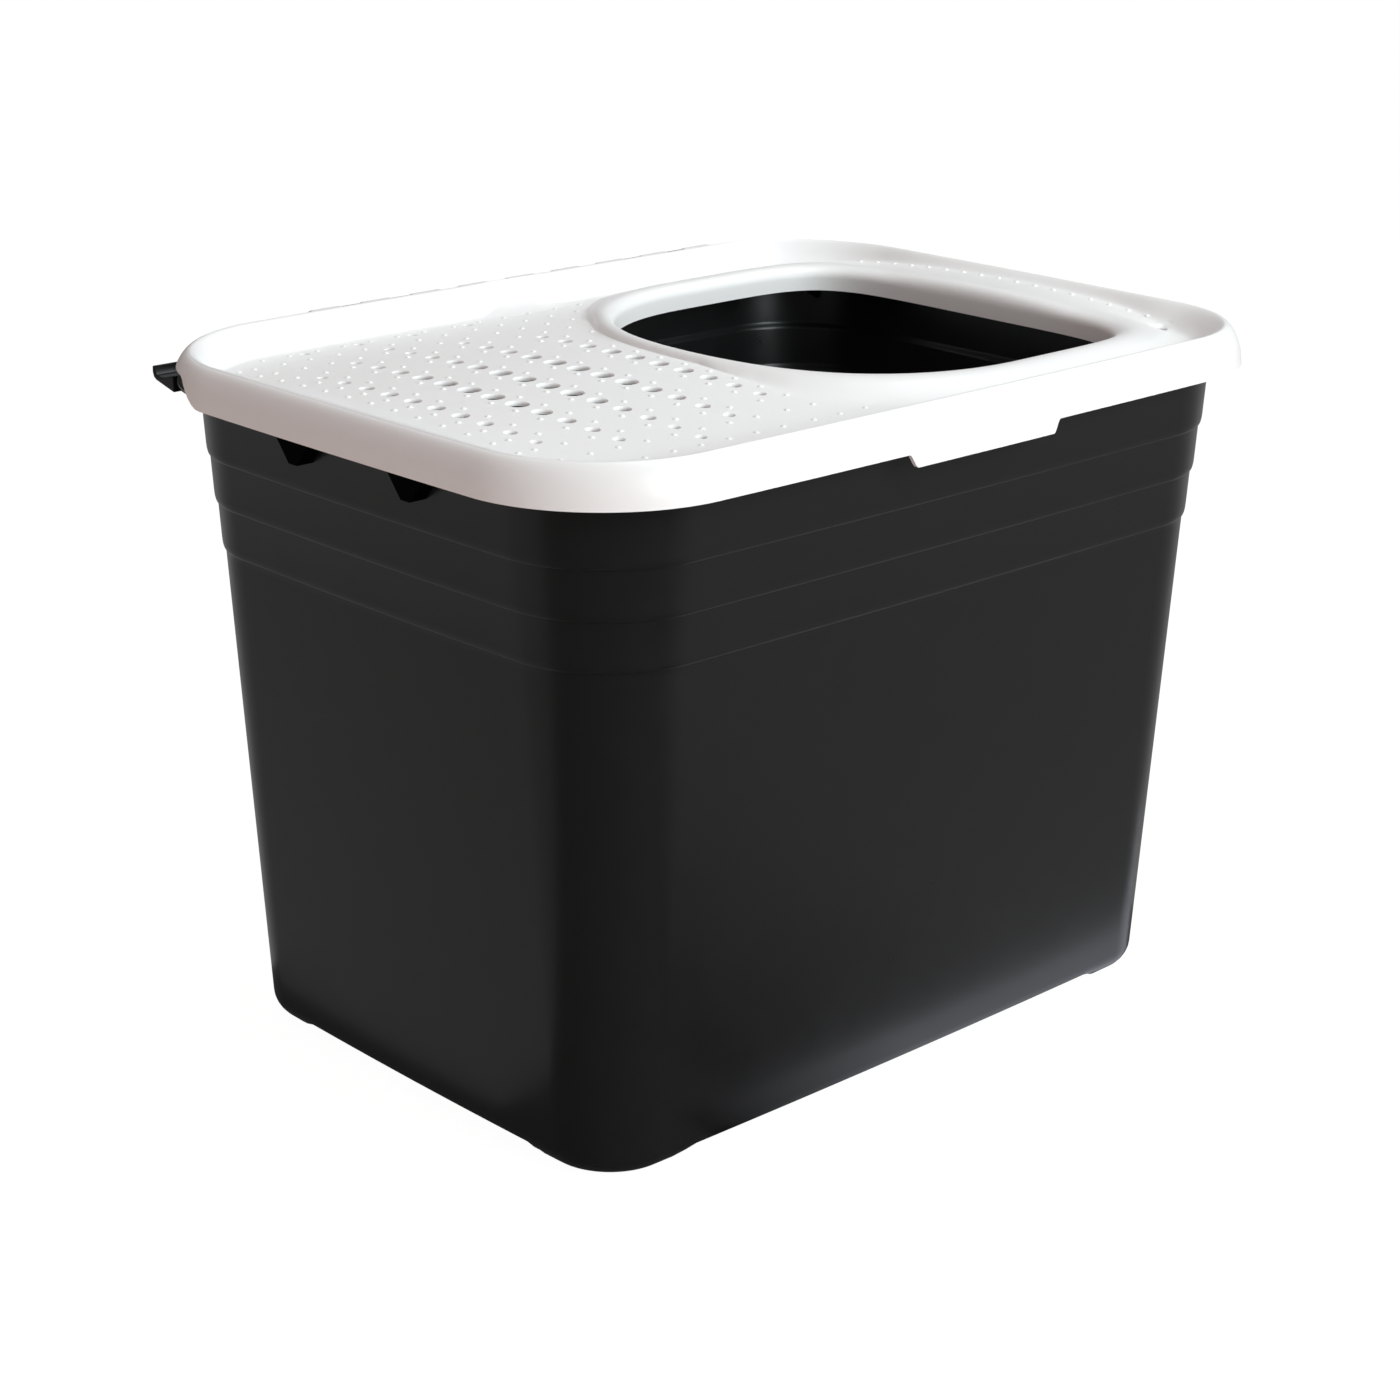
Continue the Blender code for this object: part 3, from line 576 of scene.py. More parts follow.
# --- tub -------------------------------------------------------------------------
@dataclass
class TubBody:
    """Tapered one-piece tub: walls with ledges, flange, gutter, knuckles, ribs and feet."""

    half_length: float = 0.22385         # at the floor, outside
    half_width: float = 0.15795
    draft_length: float = 0.0605
    draft_width: float = 0.0555
    top: float = 0.3812
    wall: float = 0.0026
    radius_foot: float = 0.038
    radius_top: float = 0.062
    foot_low: float = 0.001
    foot_height: float = 0.007
    foot_length: float = 0.061
    foot_ramp: float = 0.012
    foot_fillet: float = 0.013
    floor_top: float = 0.0106
    ledges: tuple[float, ...] = (0.2858, 0.3129, 0.3399)
    ledge_step: float = 0.00155
    ledge_rise: float = 0.005
    lip: float = 0.0007
    flange_reach: float = 0.0118
    flange_thickness: float = 0.003
    rib_depth: float = 0.0131
    rib_drop: float = 0.0198
    rib_tip: float = 0.0035              # half of the flat at a rib's lowest edge
    rib_places: tuple[float, ...] = (-0.0556, 0.0384)
    gutter_half: float = 0.2395
    gutter_floor: float = CREST_Z - 0.022
    gutter_wall: float = 0.0034
    knuckle_radius: float = 0.005
    knuckle_length: float = 0.0115

    def walk(self) -> Walk:
        """Stations round the tub, close together at its corners and feet.

        Returns:
            The walk.
        """
        middle = self.foot_length - self.foot_ramp / 2
        ends = spread(self.half_width, 0.008, [(s * (self.half_width - middle), 0.012, 0.0016)
                                               for s in (-1, 1)])
        sides = spread(self.half_length, 0.008, [(s * (self.half_length - middle), 0.012, 0.0016)
                                                 for s in (-1, 1)])
        return Walk.around(ends, sides, sides, 30)

    def outside(self) -> list[tuple[float, float]]:
        """(height, offset) profile up the outside: fillet, taper, ledges, flange.

        A ledge is a sharp lip, then a quarter ellipse out to the next band.

        Returns:
            The profile from the bottom up.
        """
        quarter = np.linspace(0, pi / 2, 9)
        rows = [(self.foot_low + self.foot_fillet * (1 - np.cos(t)),
                 -self.foot_fillet * (1 - np.sin(t))) for t in quarter]
        rows += [(z, 0.0) for z in np.linspace(0.03, self.ledges[0] - 0.004, 10)]
        for index, height in enumerate(self.ledges):
            offset = index * self.ledge_step
            rows += [(height - 0.0004, offset), (height, offset + 0.0001),
                     (height + 0.0001, offset + self.lip)]
            rows += [(height + 0.0001 + self.ledge_rise * (1 - np.cos(t)),
                      offset + self.lip + (self.ledge_step - self.lip) * np.sin(t))
                     for t in quarter[2::2]]
        full = len(self.ledges) * self.ledge_step
        under = self.top - self.flange_thickness
        rows += [(under - 0.0018, full), (under - 0.0006, full + 0.0004), (under, full + 0.0016)]
        return rows

    def flange(self) -> list[tuple[float, float]]:
        """(height, share of the flange's reach) round its rounded edge.

        Returns:
            The profile from the underside to the top.
        """
        half = self.flange_thickness / 2
        turn = np.linspace(-pi / 2, pi / 2, 9)
        return [(self.top - half + half * np.sin(t), 1 - 0.10 * (1 - np.cos(t))) for t in turn]

    def inside(self) -> list[tuple[float, float]]:
        """(height, offset) profile down the inside wall to the floor's fillet.

        Returns:
            The profile from the top down.
        """
        full = len(self.ledges) * self.ledge_step
        rows = [(self.top, full + 0.0012 - self.wall), (self.top - 0.0006, full - self.wall + 0.0002),
                (self.top - 0.0018, full - self.wall)]
        eased = np.linspace(1, 0, 7)
        for index in reversed(range(len(self.ledges))):
            base = index * self.ledge_step - self.wall
            rows += [(self.ledges[index] + self.ledge_rise * t, base + self.ledge_step * float(ease(t)))
                     for t in eased]
        rows += [(z, -self.wall) for z in np.linspace(self.ledges[0] - 0.01, 0.03, 8)]
        quarter = np.linspace(0, pi / 2, 7)
        rows += [(self.floor_top + self.foot_fillet * (1 - np.sin(t)),
                  -self.wall - self.foot_fillet * (1 - np.cos(t))) for t in quarter]
        return rows

    def rings(self, walk: Walk, rows: Sequence[tuple[float, float]]) -> Array:
        """Outlines at given heights and offsets, as a grid of points.

        Half sizes grow with the draft times the height; the corner radius grows evenly.

        Args:
            walk: stations round the tub.
            rows: (height, offset) of each ring.

        Returns:
            Points as (row, station, 3).
        """
        height, offset = (np.array(part)[:, None] for part in zip(*rows))
        radius = self.radius_foot + (self.radius_top - self.radius_foot) * height / self.top
        x, y = walk.outline(self.half_length + self.draft_length * height + offset,
                            self.half_width + self.draft_width * height + offset, radius + offset)
        return np.stack((x, y, np.broadcast_to(height, x.shape)), -1)

    def shell(self) -> Shape:
        """The tub's wall, floor and flange as one closed surface.

        Rings run from a pole under the floor, up the outside, over the flange and down the
        inside to a pole on the floor. The underside ramps up between the feet.

        Returns:
            The shape.
        """
        walk = self.walk()
        outer = self.rings(walk, self.outside())
        inner = self.rings(walk, self.inside())
        full = len(self.ledges) * self.ledge_step
        open_rear = (walk.b == 1) & (walk.angle == pi / 2) & (np.abs(walk.a) < 0.985)
        reach = np.where(open_rear, 0.0016, self.flange_reach)[None, :, None]
        low = self.rings(walk, [(z, full) for z, _ in self.flange()])
        high = self.rings(walk, [(z, full + 1.0) for z, _ in self.flange()])
        share = np.array([s for _, s in self.flange()])[:, None, None]
        rim = low + (high - low) * reach * share
        shrink = (np.linspace(0.02, 1, 40) ** 0.8)[:-1, None, None]
        under = outer[0][None] * shrink
        under[..., 2] = outer[0, 0, 2]
        floor = inner[-1][None] * shrink[::-1]
        floor[..., 2] = self.floor_top
        rings = np.concatenate((under, outer, rim, inner, floor))
        bottom = len(under) + 10
        raised = self.foot_low + self.foot_height
        foot = 1.0
        for axis, half in ((0, self.half_length), (1, self.half_width)):
            start = half - self.foot_length
            foot = foot * ease((np.abs(rings[:bottom, :, axis]) - start) / self.foot_ramp)
        rings[:bottom, :, 2] = np.maximum(rings[:bottom, :, 2], raised - self.foot_height * foot)
        return Shape.loft(rings, np.array((0, 0, raised)), np.array((0, 0, self.floor_top)))

    def rear_wall(self) -> float:
        """Outside face of the rear wall under the flange."""
        return self.half_width + self.draft_width * self.top + len(self.ledges) * self.ledge_step

    def gutter(self) -> Shape:
        """Channel behind the rear wall, with a curled lip, and a web at each of its ends.

        Returns:
            The shape, with flat ends.
        """
        root = self.rear_wall() - self.wall / 2
        floor, wall, lip = self.gutter_floor, self.gutter_wall, 0.003
        out = LID_HALF_Y + lip
        under = floor - wall
        section = [(root, under - 0.22 * (out - root)), (out - 0.0035, under - 0.0004),
                   (out - 0.0010, under + 0.0010), (out, floor + 0.0006), (out - 0.0002, floor + 0.0038),
                   (out - 0.0014, floor + 0.0040), (out - 0.0024, floor + 0.0012),
                   (out - 0.0042, floor - 0.0010), (out - 0.0080, floor - 0.0016),
                   (out - 0.0125, floor - 0.0008), (root, floor + 0.0014)]
        channel = Shape.prism(section, -self.gutter_half, self.gutter_half)
        corner = self.half_width + self.draft_width * self.top - self.radius_top * 0.45
        fall = 0.22 * (LID_HALF_Y - corner)
        web = [(corner, under - fall), (LID_HALF_Y - lip, under), (LID_HALF_Y - lip, floor - wall / 2),
               (corner, floor - wall / 2)]
        for side in (-1, 1):
            ends = sorted((side * (self.gutter_half - wall), side * (self.gutter_half - 2 * wall)))
            channel = channel.joined(Shape.prism(web, *ends))
        return channel

    def ribs(self) -> Shape:
        """Two V ribs under the flange of each end wall, sides at 45 degrees.

        Returns:
            All four ribs as one shape.
        """
        top = self.top - self.flange_thickness / 2
        tip = self.top - self.flange_thickness - self.rib_drop
        wall = (self.half_length + self.draft_length * tip + len(self.ledges) * self.ledge_step)
        section = [(-(top - tip), top), (-self.rib_tip, tip), (self.rib_tip, tip), (top - tip, top)]
        made = None
        for side in (-1, 1):
            start, end = sorted((side * (wall + BOW - self.wall / 2),
                                 side * (wall + self.rib_depth)))
            pair = Shape.prism(section, start, end).repeated([(0, y, 0) for y in self.rib_places])
            made = pair if made is None else made.joined(pair)
        return made

    def knuckles(self) -> Shape:
        """Knuckles on the gutter: a round head on a narrower foot, carried along X.

        Returns:
            All the knuckles as one shape.
        """
        root = self.gutter_floor - self.gutter_wall / 2
        turn = np.linspace(-pi / 3, 4 * pi / 3, 22)
        section = [(LID_HALF_Y - 0.0025, root), (LID_HALF_Y + 0.0025, root)]
        section += [(LID_HALF_Y + self.knuckle_radius * np.cos(t),
                     AXIS_Z + self.knuckle_radius * np.sin(t)) for t in turn]
        half = self.knuckle_length / 2
        return Shape.prism(section, -half, half).repeated([(x, 0, 0) for x in tub_knuckle_places()])

    def build(self, material: bpy.types.Material, painted_shade_finish: bpy.types.Material) -> None:
        """Make and dress every piece of the tub's moulding.

        Args:
            material: finish of the tub.
            painted_shade_finish: finish of the ribs, a near-black, rough, almost glossless copy of the
                tub's black; painted shade for the shadow under the lid's skirt.
        """
        settle(self.shell().make("tub_shell", 28.0), Body.TUB, ["litter_tub"], material)
        for name, shape, width in (("hinge_gutter", self.gutter(), 0.0005),
                                   ("end_ribs", self.ribs(), 0.0005),
                                   ("tub_knuckles", self.knuckles(), 0.0004)):
            item = shape.make(name)
            soften(item, width)
            # The ribs take the painted-shade finish, darker than the tub's own black.
            settle(item, Body.TUB, [], painted_shade_finish if name == "end_ribs" else material)


# --- hinge and feet ----------------------------------------------------------------
def lid_knuckle_places() -> list[float]:
    """X of every lid knuckle, evenly pitched."""
    return [KNUCKLE_CENTRE_X + (index - (KNUCKLE_COUNT - 1) / 2) * KNUCKLE_PITCH
            for index in range(KNUCKLE_COUNT)]


def tub_knuckle_places() -> list[float]:
    """X of every tub knuckle, half way between two lid knuckles."""
    lid = lid_knuckle_places()
    return [(lid[gap] + lid[gap + 1]) / 2 for gap in TUB_KNUCKLE_GAPS]


@dataclass
class HingeRod:
    """Straight rod with a push-on cap at each end."""

    cap_radius: float = 0.004
    cap_wall: float = 0.0014
    edge: float = 0.0006

    def rod(self) -> Shape:
        """Round rod with chamfered ends, as long as its CAD node.

        Returns:
            The shape, about the origin.
        """
        low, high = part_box("hinge_rod")
        radius = ROD_RADIUS
        return Shape.turned([(low.x, 0), (low.x, radius - self.edge), (low.x + self.edge, radius),
                             (high.x - self.edge, radius), (high.x, radius - self.edge),
                             (high.x, 0)], Axis.X, 32)

    def cap(self, node: str, side: int) -> Shape:
        """Cup that fits over the rod's end, its closed face outwards.

        Args:
            node: CAD node that it stands for.
            side: -1 at the left end, 1 at the right.

        Returns:
            The shape.
        """
        low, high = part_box(node)
        mouth, close = (high.x, low.x) if side < 0 else (low.x, high.x)
        seat = close - side * self.cap_wall
        inner = ROD_RADIUS + 0.0003
        profile = [(seat, 0), (seat, inner), (mouth, inner), (mouth, self.cap_radius - 0.0003),
                   (mouth + side * 0.0003, self.cap_radius), (close - side * self.edge, self.cap_radius),
                   (close, self.cap_radius - self.edge), (close, 0)]
        return Shape.turned(profile if side > 0 else profile[::-1], Axis.X, 40)

    def build(self, material: bpy.types.Material) -> None:
        """Make and dress the rod and its caps.

        Args:
            material: finish of the rod and its caps.
        """
        axis = [(0, LID_HALF_Y, AXIS_Z)]
        settle(self.rod().repeated(axis).make("rod"), Body.TUB, ["hinge_rod"], material)
        for name, side in (("left", -1), ("right", 1)):
            node = f"rod_cap_{name}"
            settle(self.cap(node, side).repeated(axis).make(f"cap_{name}"), Body.TUB,
                   [node], material)


@dataclass
class FootPads:
    """Rubber discs in the corner feet, with a ring pressed into the underside."""

    groove: float = 0.0003

    def pad(self, node: str) -> Shape:
        """One disc about its CAD node's own middle.

        Args:
            node: CAD node that it stands for.

        Returns:
            The shape, in its place.
        """
        low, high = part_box(node)
        radius, top = (high.x - low.x) / 2, high.z - low.z
        profile = [(0, 0), (0, 0.55 * radius), (self.groove, 0.60 * radius),
                   (self.groove, 0.70 * radius), (0, 0.75 * radius), (0, radius - 0.0007),
                   (0.0002, radius - 0.0002), (0.0007, radius), (top, radius), (top, 0)]
        middle = [((low.x + high.x) / 2, (low.y + high.y) / 2 - CENTRE_Y, low.z)]
        return Shape.turned(profile, Axis.Z, 48).repeated(middle)

    def build(self, material: bpy.types.Material) -> None:
        """Make and dress the four pads.

        Args:
            material: finish of the pads.
        """
        for place in ("front_left", "front_right", "rear_left", "rear_right"):
            node = f"foot_pad_{place}"
            settle(self.pad(node).make(f"pad_{place}"), Body.TUB, [node], material)


# --- lid -------------------------------------------------------------------------
@dataclass
class Lid:
    """One-piece lid: skirt, rim, crowned deck with holes and dots, entry ring and fingers."""

    wall: float = 0.0025
    radius: float = 0.082
    rear_radius: float = 0.091           # corner radius at the hinge side
    skirt_low: float = CREST_Z - 0.022
    shoulder: float = CREST_Z - 0.017
    draft: float = 0.12
    crest_inset: float = 0.0105
    crest_end_drop: float = 0.0008
    rim_foot: float = 0.029
    left_foot: float = 0.014             # extra width of the left rim's slope
    right_foot: float = -0.009           # and of the right rim's
    tab_half: float = 0.058
    tab_corner: float = 0.006
    tab_drop: float = 0.0072
    rear_cut_start: float = 0.110
    rear_cut_length: float = 0.030
    rear_cut_rise: float = 0.0133
    deck_top: float = 0.3863
    deck_crown: float = 0.274            # metres of fall per square metre of distance
    deck_crown_y: float = 0.0205
    deck_low: float = 0.3800
    strip: tuple[float, float, float] = (0.3925, 0.42, 0.005)     # level, crown and its Y
    alcove: tuple[float, float, float] = (0.006, 0.036, 0.010)    # middle X, half width, depth
    opening_x: float = 0.099
    opening_half: tuple[float, float] = (0.119, 0.133)
    opening_power: tuple[float, float] = (2.3, 5.5)               # towards the deck, the strip
    ring_crest: float = 0.390
    ring_shoulder: float = 0.383
    collar_low: float = 0.375
    finger_radius: float = 0.0055
    finger_length: float = 0.022
    notch_half: float = 0.00695
    notch_top: float = 0.393
    hole_columns: tuple[tuple[float, int, int, float], ...] = (
        (-0.2013, -4, 5, 0.72), (-0.1638, -5, 6, 1.0), (-0.1260, -6, 7, 1.0),
        (-0.0876, -5, 6, 1.0), (-0.0462, -4, 5, 0.85))            # X, first row, last row, size
    hole_pitch: float = 0.01985
    hole_origin: float = -0.00365
    hole_radius: float = 0.006
    rear_hole: tuple[float, float] = (0.1635, 0.0026)
    drain: tuple[float, float, float] = (0.240, -0.124, 0.0035)
    dot_radius: float = 0.0018
    dot_height: float = 0.0009
    dot_offset: float = 0.0096

    def notch_places(self) -> list[tuple[float, float]]:
        """(X, half length) of the gaps in the rear edge for tub knuckles and rod caps.

        Returns:
            One pair for each gap.
        """
        gaps = [(x, self.notch_half) for x in tub_knuckle_places()]
        for node in ("rod_cap_left", "rod_cap_right"):
            low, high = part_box(node)
            gaps.append(((low.x + high.x) / 2, (high.x - low.x) / 2 + 0.0012))
        return gaps

    def walk(self) -> Walk:
        """Stations round the lid, close together at the tab, the notches and the alcove.

        Returns:
            The walk.
        """
        side = LID_HALF_X - self.radius
        tab = self.tab_half - self.tab_corner / 2
        front = spread(side, 0.0055, [(s * tab, 0.0045, 0.0007) for s in (-1, 1)])
        edges = [(x + s * half, 0.0007, 0.00035) for x, half in self.notch_places() for s in (-1, 1)]
        middle, half, _ = self.alcove
        alcove = [(middle, half + 0.003, 0.0018)]
        rear = spread(side, 0.0045, edges + alcove)
        return Walk.around(spread(LID_HALF_Y - self.radius, 0.0045), rear, front, 34)

    def inset(self, x: Array, y: Array) -> Array:
        """Distance in from the lid's outline: the signed distance of a rounded rectangle.

        Args:
            x: X of each point.
            y: Y of each point.

        Returns:
            The distances, negative outside.
        """
        half_x = LID_HALF_X + BOW * (1 - np.clip(y / LID_HALF_Y, -1, 1) ** 2)
        half_y = LID_HALF_Y + BOW * (1 - np.clip(x / LID_HALF_X, -1, 1) ** 2)
        radius = self.corner_radius(np.clip(y / (LID_HALF_Y - self.rear_radius), -1, 1))
        over_x = np.abs(x) - (half_x - radius)
        over_y = np.abs(y) - (half_y - radius)
        outside = np.hypot(np.maximum(over_x, 0), np.maximum(over_y, 0))
        return radius - outside - np.minimum(np.maximum(over_x, over_y), 0)

    def corner_radius(self, side: Array) -> Array:
        """Corner radius, from the front's (side -1) to the hinge side's (side 1)."""
        return self.radius + (self.rear_radius - self.radius) * (side + 1) / 2

    def bearing(self, x: Array, y: Array) -> Array:
        """Direction from the opening's middle, in degrees from 0 to 360."""
        return np.degrees(np.arctan2(y, x - self.opening_x)) % 360

    def opening_outline(self, bearing: Array, offset: Array) -> tuple[Array, Array]:
        """Superellipse of the opening in polar form, pushed out by an offset.

        Radius is (|cos/a|^n + |sin/b|^n)^(-1/n), with one exponent for each side.

        Args:
            bearing: directions in degrees.
            offset: distance out from the opening at each.

        Returns:
            X and Y arrays.
        """
        turn = np.radians(bearing)
        power = np.where(np.cos(turn) > 0, self.opening_power[1], self.opening_power[0])
        reach = ((np.abs(np.cos(turn)) / (self.opening_half[0] + offset)) ** power
                 + (np.abs(np.sin(turn)) / (self.opening_half[1] + offset)) ** power) ** (-1 / power)
        return self.opening_x + reach * np.cos(turn), reach * np.sin(turn)

    def ring_offset(self, x: Array, y: Array) -> Array:
        """Offset of the superellipse through each point, found by repeated correction.

        Args:
            x: X of each point.
            y: Y of each point.

        Returns:
            The offsets, negative inside the opening.
        """
        across, along = np.abs(x - self.opening_x), np.abs(y)
        power = np.where(x > self.opening_x, self.opening_power[1], self.opening_power[0])
        offset = np.zeros_like(x)
        for _ in range(10):
            half_x = self.opening_half[0] + offset
            half_y = self.opening_half[1] + offset
            size = ((across / half_x) ** power + (along / half_y) ** power) ** (1 / power)
            offset = np.maximum(offset + (size - 1) * np.minimum(half_x, half_y), -0.05)
        return offset

    def crest_offset(self, bearing: Array) -> Array:
        """How far out the ring's crest lies: narrow beside the deck, wide elsewhere."""
        return np.interp(bearing, (0, 105, 135, 195, 225, 360),
                         (0.009, 0.009, 0.006, 0.006, 0.009, 0.009))

    def flank_width(self, bearing: Array) -> Array:
        """Width of the ring's outer flank: a crisp step beside the deck, a long slope elsewhere."""
        return np.interp(bearing,
                         (0, 35, 60, 96, 107, 120, 133, 160, 188, 200, 214, 235, 300, 325, 360),
                         (0.011, 0.018, 0.031, 0.030, 0.024, 0.0135, 0.0068, 0.0050, 0.0048, 0.010,
                          0.021, 0.030, 0.031, 0.018, 0.011))

    def crest_height(self, x: Array) -> Array:
        """Rim crest, a little lower towards the short sides."""
        return CREST_Z - self.crest_end_drop * (np.abs(x) / LID_HALF_X) ** 8

    def deck_level(self, x: Array, y: Array) -> Array:
        """Crowned deck that eases up to a higher crowned strip beyond the entry ring.

        Args:
            x: X of each point.
            y: Y of each point.

        Returns:
            The heights.
        """
        crown = np.maximum(self.deck_top - self.deck_crown * (y - self.deck_crown_y) ** 2,
                           self.deck_low)
        level, bend, middle = self.strip
        strip = level - bend * (y - middle) ** 2
        return crown + (strip - crown) * ease((x - 0.165) / 0.055)

    def ring_level(self, x: Array, y: Array) -> Array:
        """Crest of the entry ring, which the strip meets where it is higher."""
        return np.maximum(self.ring_crest, self.deck_level(x, y))

    def ring_shape(self, share: Array, bearing: Array) -> Array:
        """Fall of the ring's flank: an eased slope, or a bead with a crisp foot beside the deck.

        Args:
            share: distance over the flank, 0 at the crest and 1 at its foot.
            bearing: directions in degrees.

        Returns:
            Array that is 1 at the crest and 0 at the foot.
        """
        bead = 0.85 * np.interp(bearing, (100, 112, 190, 206), (0, 1, 1, 0))
        held = np.clip(share, 0, 1)
        return bead * (1 - held ** 3) + (1 - bead) * (1 - ease(share))

    def height(self, x: Array, y: Array) -> Array:
        """Upper face: the deck, plus the eased rise of the rim and of the entry ring.

        The rim's foot lies further in at the left end, further out at the right end but for
        the front corner, where the slope has to clear the tub's flange, and
        nearly at the crest in the alcove of the hinge side.

        Args:
            x: X of each point.
            y: Y of each point.

        Returns:
            The heights.
        """
        deck = self.deck_level(x, y)
        middle, half, depth = self.alcove
        bite = ease(1.3 * (1 - np.abs(x - middle) / half)) * (y > 0)
        deck = deck + 0.25 * np.maximum(y - 0.166, 0) * bite
        foot = (self.rim_foot - depth * bite + self.left_foot * ease((-x - 0.15) / 0.06)
                * (1 - ease((y - 0.07) / 0.06)) + self.right_foot * ease((x - 0.17) / 0.05)
                * ease((y + 0.13) / 0.05))
        share = (self.inset(x, y) - self.crest_inset) / (foot - self.crest_inset)
        rim = (self.crest_height(x) - deck) * (1 - ease(share))
        bearing = self.bearing(x, y)
        share = (self.ring_offset(x, y) - self.crest_offset(bearing)) / self.flank_width(bearing)
        ring = (self.ring_level(x, y) - deck) * self.ring_shape(share, bearing)
        pocket = 0.0015 * np.exp(-((x - 0.240) ** 2 + (y + 0.128) ** 2) / 0.010 ** 2)
        return deck + np.maximum(rim, ring) + 0.25 * np.minimum(rim, ring) - pocket

    def skirt_bottom(self, x: Array, y: Array) -> Array:
        """Lower edge of the skirt: level, dropped at the tab, raised in an S towards the rear.

        Args:
            x: X along the lid's outline.
            y: Y along the lid's outline.

        Returns:
            The heights.
        """
        low = self.skirt_low + self.rear_cut_rise * ease((y - self.rear_cut_start)
                                                         / self.rear_cut_length)
        tab = 1 - ease((np.abs(x) - (self.tab_half - self.tab_corner)) / self.tab_corner)
        low = low - np.where(y < 0.9 * -LID_HALF_Y, self.tab_drop * tab, 0.0)
        for place, half in self.notch_places():
            near = (np.abs(x - place) < half) & (y > 0.9 * LID_HALF_Y)
            low = np.where(near, self.notch_top, low)
        return low

    def wall_inset(self, height: Array, crest: Array, deeper: float) -> Array:
        """Inset of the skirt and rim at a height: the draft, then a rounded shoulder.

        Args:
            height: heights up the skirt.
            crest: height of the outer crest.
            deeper: 0 for the outer face, the wall's thickness for the inner one.

        Returns:
            The insets.
        """
        top = crest - deeper
        share = (height - self.shoulder) / (top - self.shoulder)
        drafted = self.draft * (height - self.skirt_low)
        full = self.crest_inset - deeper - self.draft * (top - self.skirt_low)
        return deeper + drafted + full * (1 - superellipse_rise(share, 1.75))

    def outline(self, walk: Walk, inset: Array) -> tuple[Array, Array]:
        """The lid's outline pulled in by an inset.

        Args:
            walk: stations round the lid.
            inset: distance in, a number or a column of them.

        Returns:
            X and Y arrays.
        """
        return walk.outline(LID_HALF_X - inset, LID_HALF_Y - inset,
                            self.corner_radius(walk.b) - inset)

    def shell(self) -> Shape:
        """The whole moulding before its holes, as rings that wrap from the skirt's outer edge.

        Rows go up the skirt, over the rim, across the deck, over the ring, down the collar and
        back along the underside, which lies one wall below or inside the upper face.

        Returns:
            The shape.
        """
        walk = self.walk()
        edge_x, edge_y = self.outline(walk, np.array([[0.0]]))
        low = self.skirt_bottom(edge_x, edge_y)
        crest = self.crest_height(edge_x)

        def wall_rows(deeper: float, count: int) -> Array:
            """Rows from the skirt's edge to the crest, closer together near the crest.

            Args:
                deeper: 0 for the outer face, the wall's thickness for the inner one.
                count: how many rows.

            Returns:
                Points as (row, station, 3).
            """
            share = np.sin(np.linspace(0, pi / 2, count))[:, None]
            height = low + (crest - deeper - low) * share
            x, y = self.outline(walk, self.wall_inset(height, crest, deeper))
            return np.stack((x, y, height), -1)

        slope = self.crest_inset + (self.rim_foot - self.crest_inset) * (
            np.linspace(0, 1, 19)[1:, None] ** 1.5)
        slope_x, slope_y = self.outline(walk, slope)
        bearing = self.bearing(slope_x[-1], slope_y[-1])
        crest_x, crest_y = self.opening_outline(bearing, self.crest_offset(bearing))
        span = np.hypot(slope_x[-1] - crest_x, slope_y[-1] - crest_y)
        flank = np.minimum(self.flank_width(bearing) * 1.1, 0.85 * span)
        flank_share = np.linspace(0, 1, 15)[:, None] * flank / span
        deck_share = (flank + (span - flank) * np.linspace(0, 1, 21)[1:-1, None]) / span
        share = np.concatenate((flank_share, deck_share))[::-1]
        deck_x = crest_x + (slope_x[-1] - crest_x) * share
        deck_y = crest_y + (slope_y[-1] - crest_y) * share
        top_x, top_y = np.concatenate((slope_x, deck_x)), np.concatenate((slope_y, deck_y))
        top_z = self.height(top_x, top_y)
        top = np.stack((top_x, top_y, top_z), -1)
        under = np.stack((top_x, top_y, top_z - self.wall), -1)[::2]

        def collar_rows(deeper: float, count: int) -> Array:
            """Rows from the ring's crest down to the collar's edge: a quarter ellipse, then level.

            Args:
                deeper: 0 for the outer face, the wall's thickness for the inner one.
                count: how many steps the quarter ellipse has.

            Returns:
                Points as (row, station, 3).
            """
            turn = np.linspace(0, pi / 2, count)[1:, None]
            reach = self.crest_offset(bearing)[None]
            offset = reach - (reach - deeper) * np.sin(turn)
            rise = self.ring_level(crest_x, crest_y) - deeper - self.ring_shoulder
            height = np.broadcast_to(self.ring_shoulder + rise * np.cos(turn), offset.shape)
            straight = np.linspace(self.ring_shoulder, self.collar_low, 5)[1:, None]
            offset = np.concatenate((offset, np.full((4, offset.shape[1]), deeper)))
            height = np.concatenate((height, np.broadcast_to(straight, (4, height.shape[1]))))
            x, y = self.opening_outline(bearing[None], offset)
            return np.stack((x, y, height), -1)

        rings = np.concatenate((wall_rows(0.0, 20), top, collar_rows(0.0, 11),
                                collar_rows(self.wall, 6)[::-1], under[::-1],
                                wall_rows(self.wall, 9)[::-1]))
        return Shape.loft(rings)

    def hole_places(self) -> Array:
        """(x, y, radius) of every hole; four middle rows are the largest.

        Returns:
            One row for each hole.
        """
        places = []
        for column, (x, first, last, share) in enumerate(self.hole_columns):
            row = np.arange(first, last + 1)
            away = np.maximum(np.abs(row - 0.5) - 1.5, 0)
            radius = np.maximum((self.hole_radius - 0.0008 * away) * share, self.rear_hole[1])
            places.append(np.column_stack((np.full(row.shape, x),
                                           self.hole_origin + row * self.hole_pitch, radius)))
            if column:
                places.append(np.array([(x, *self.rear_hole)]))
        return np.concatenate(places + [np.array([self.drain])])

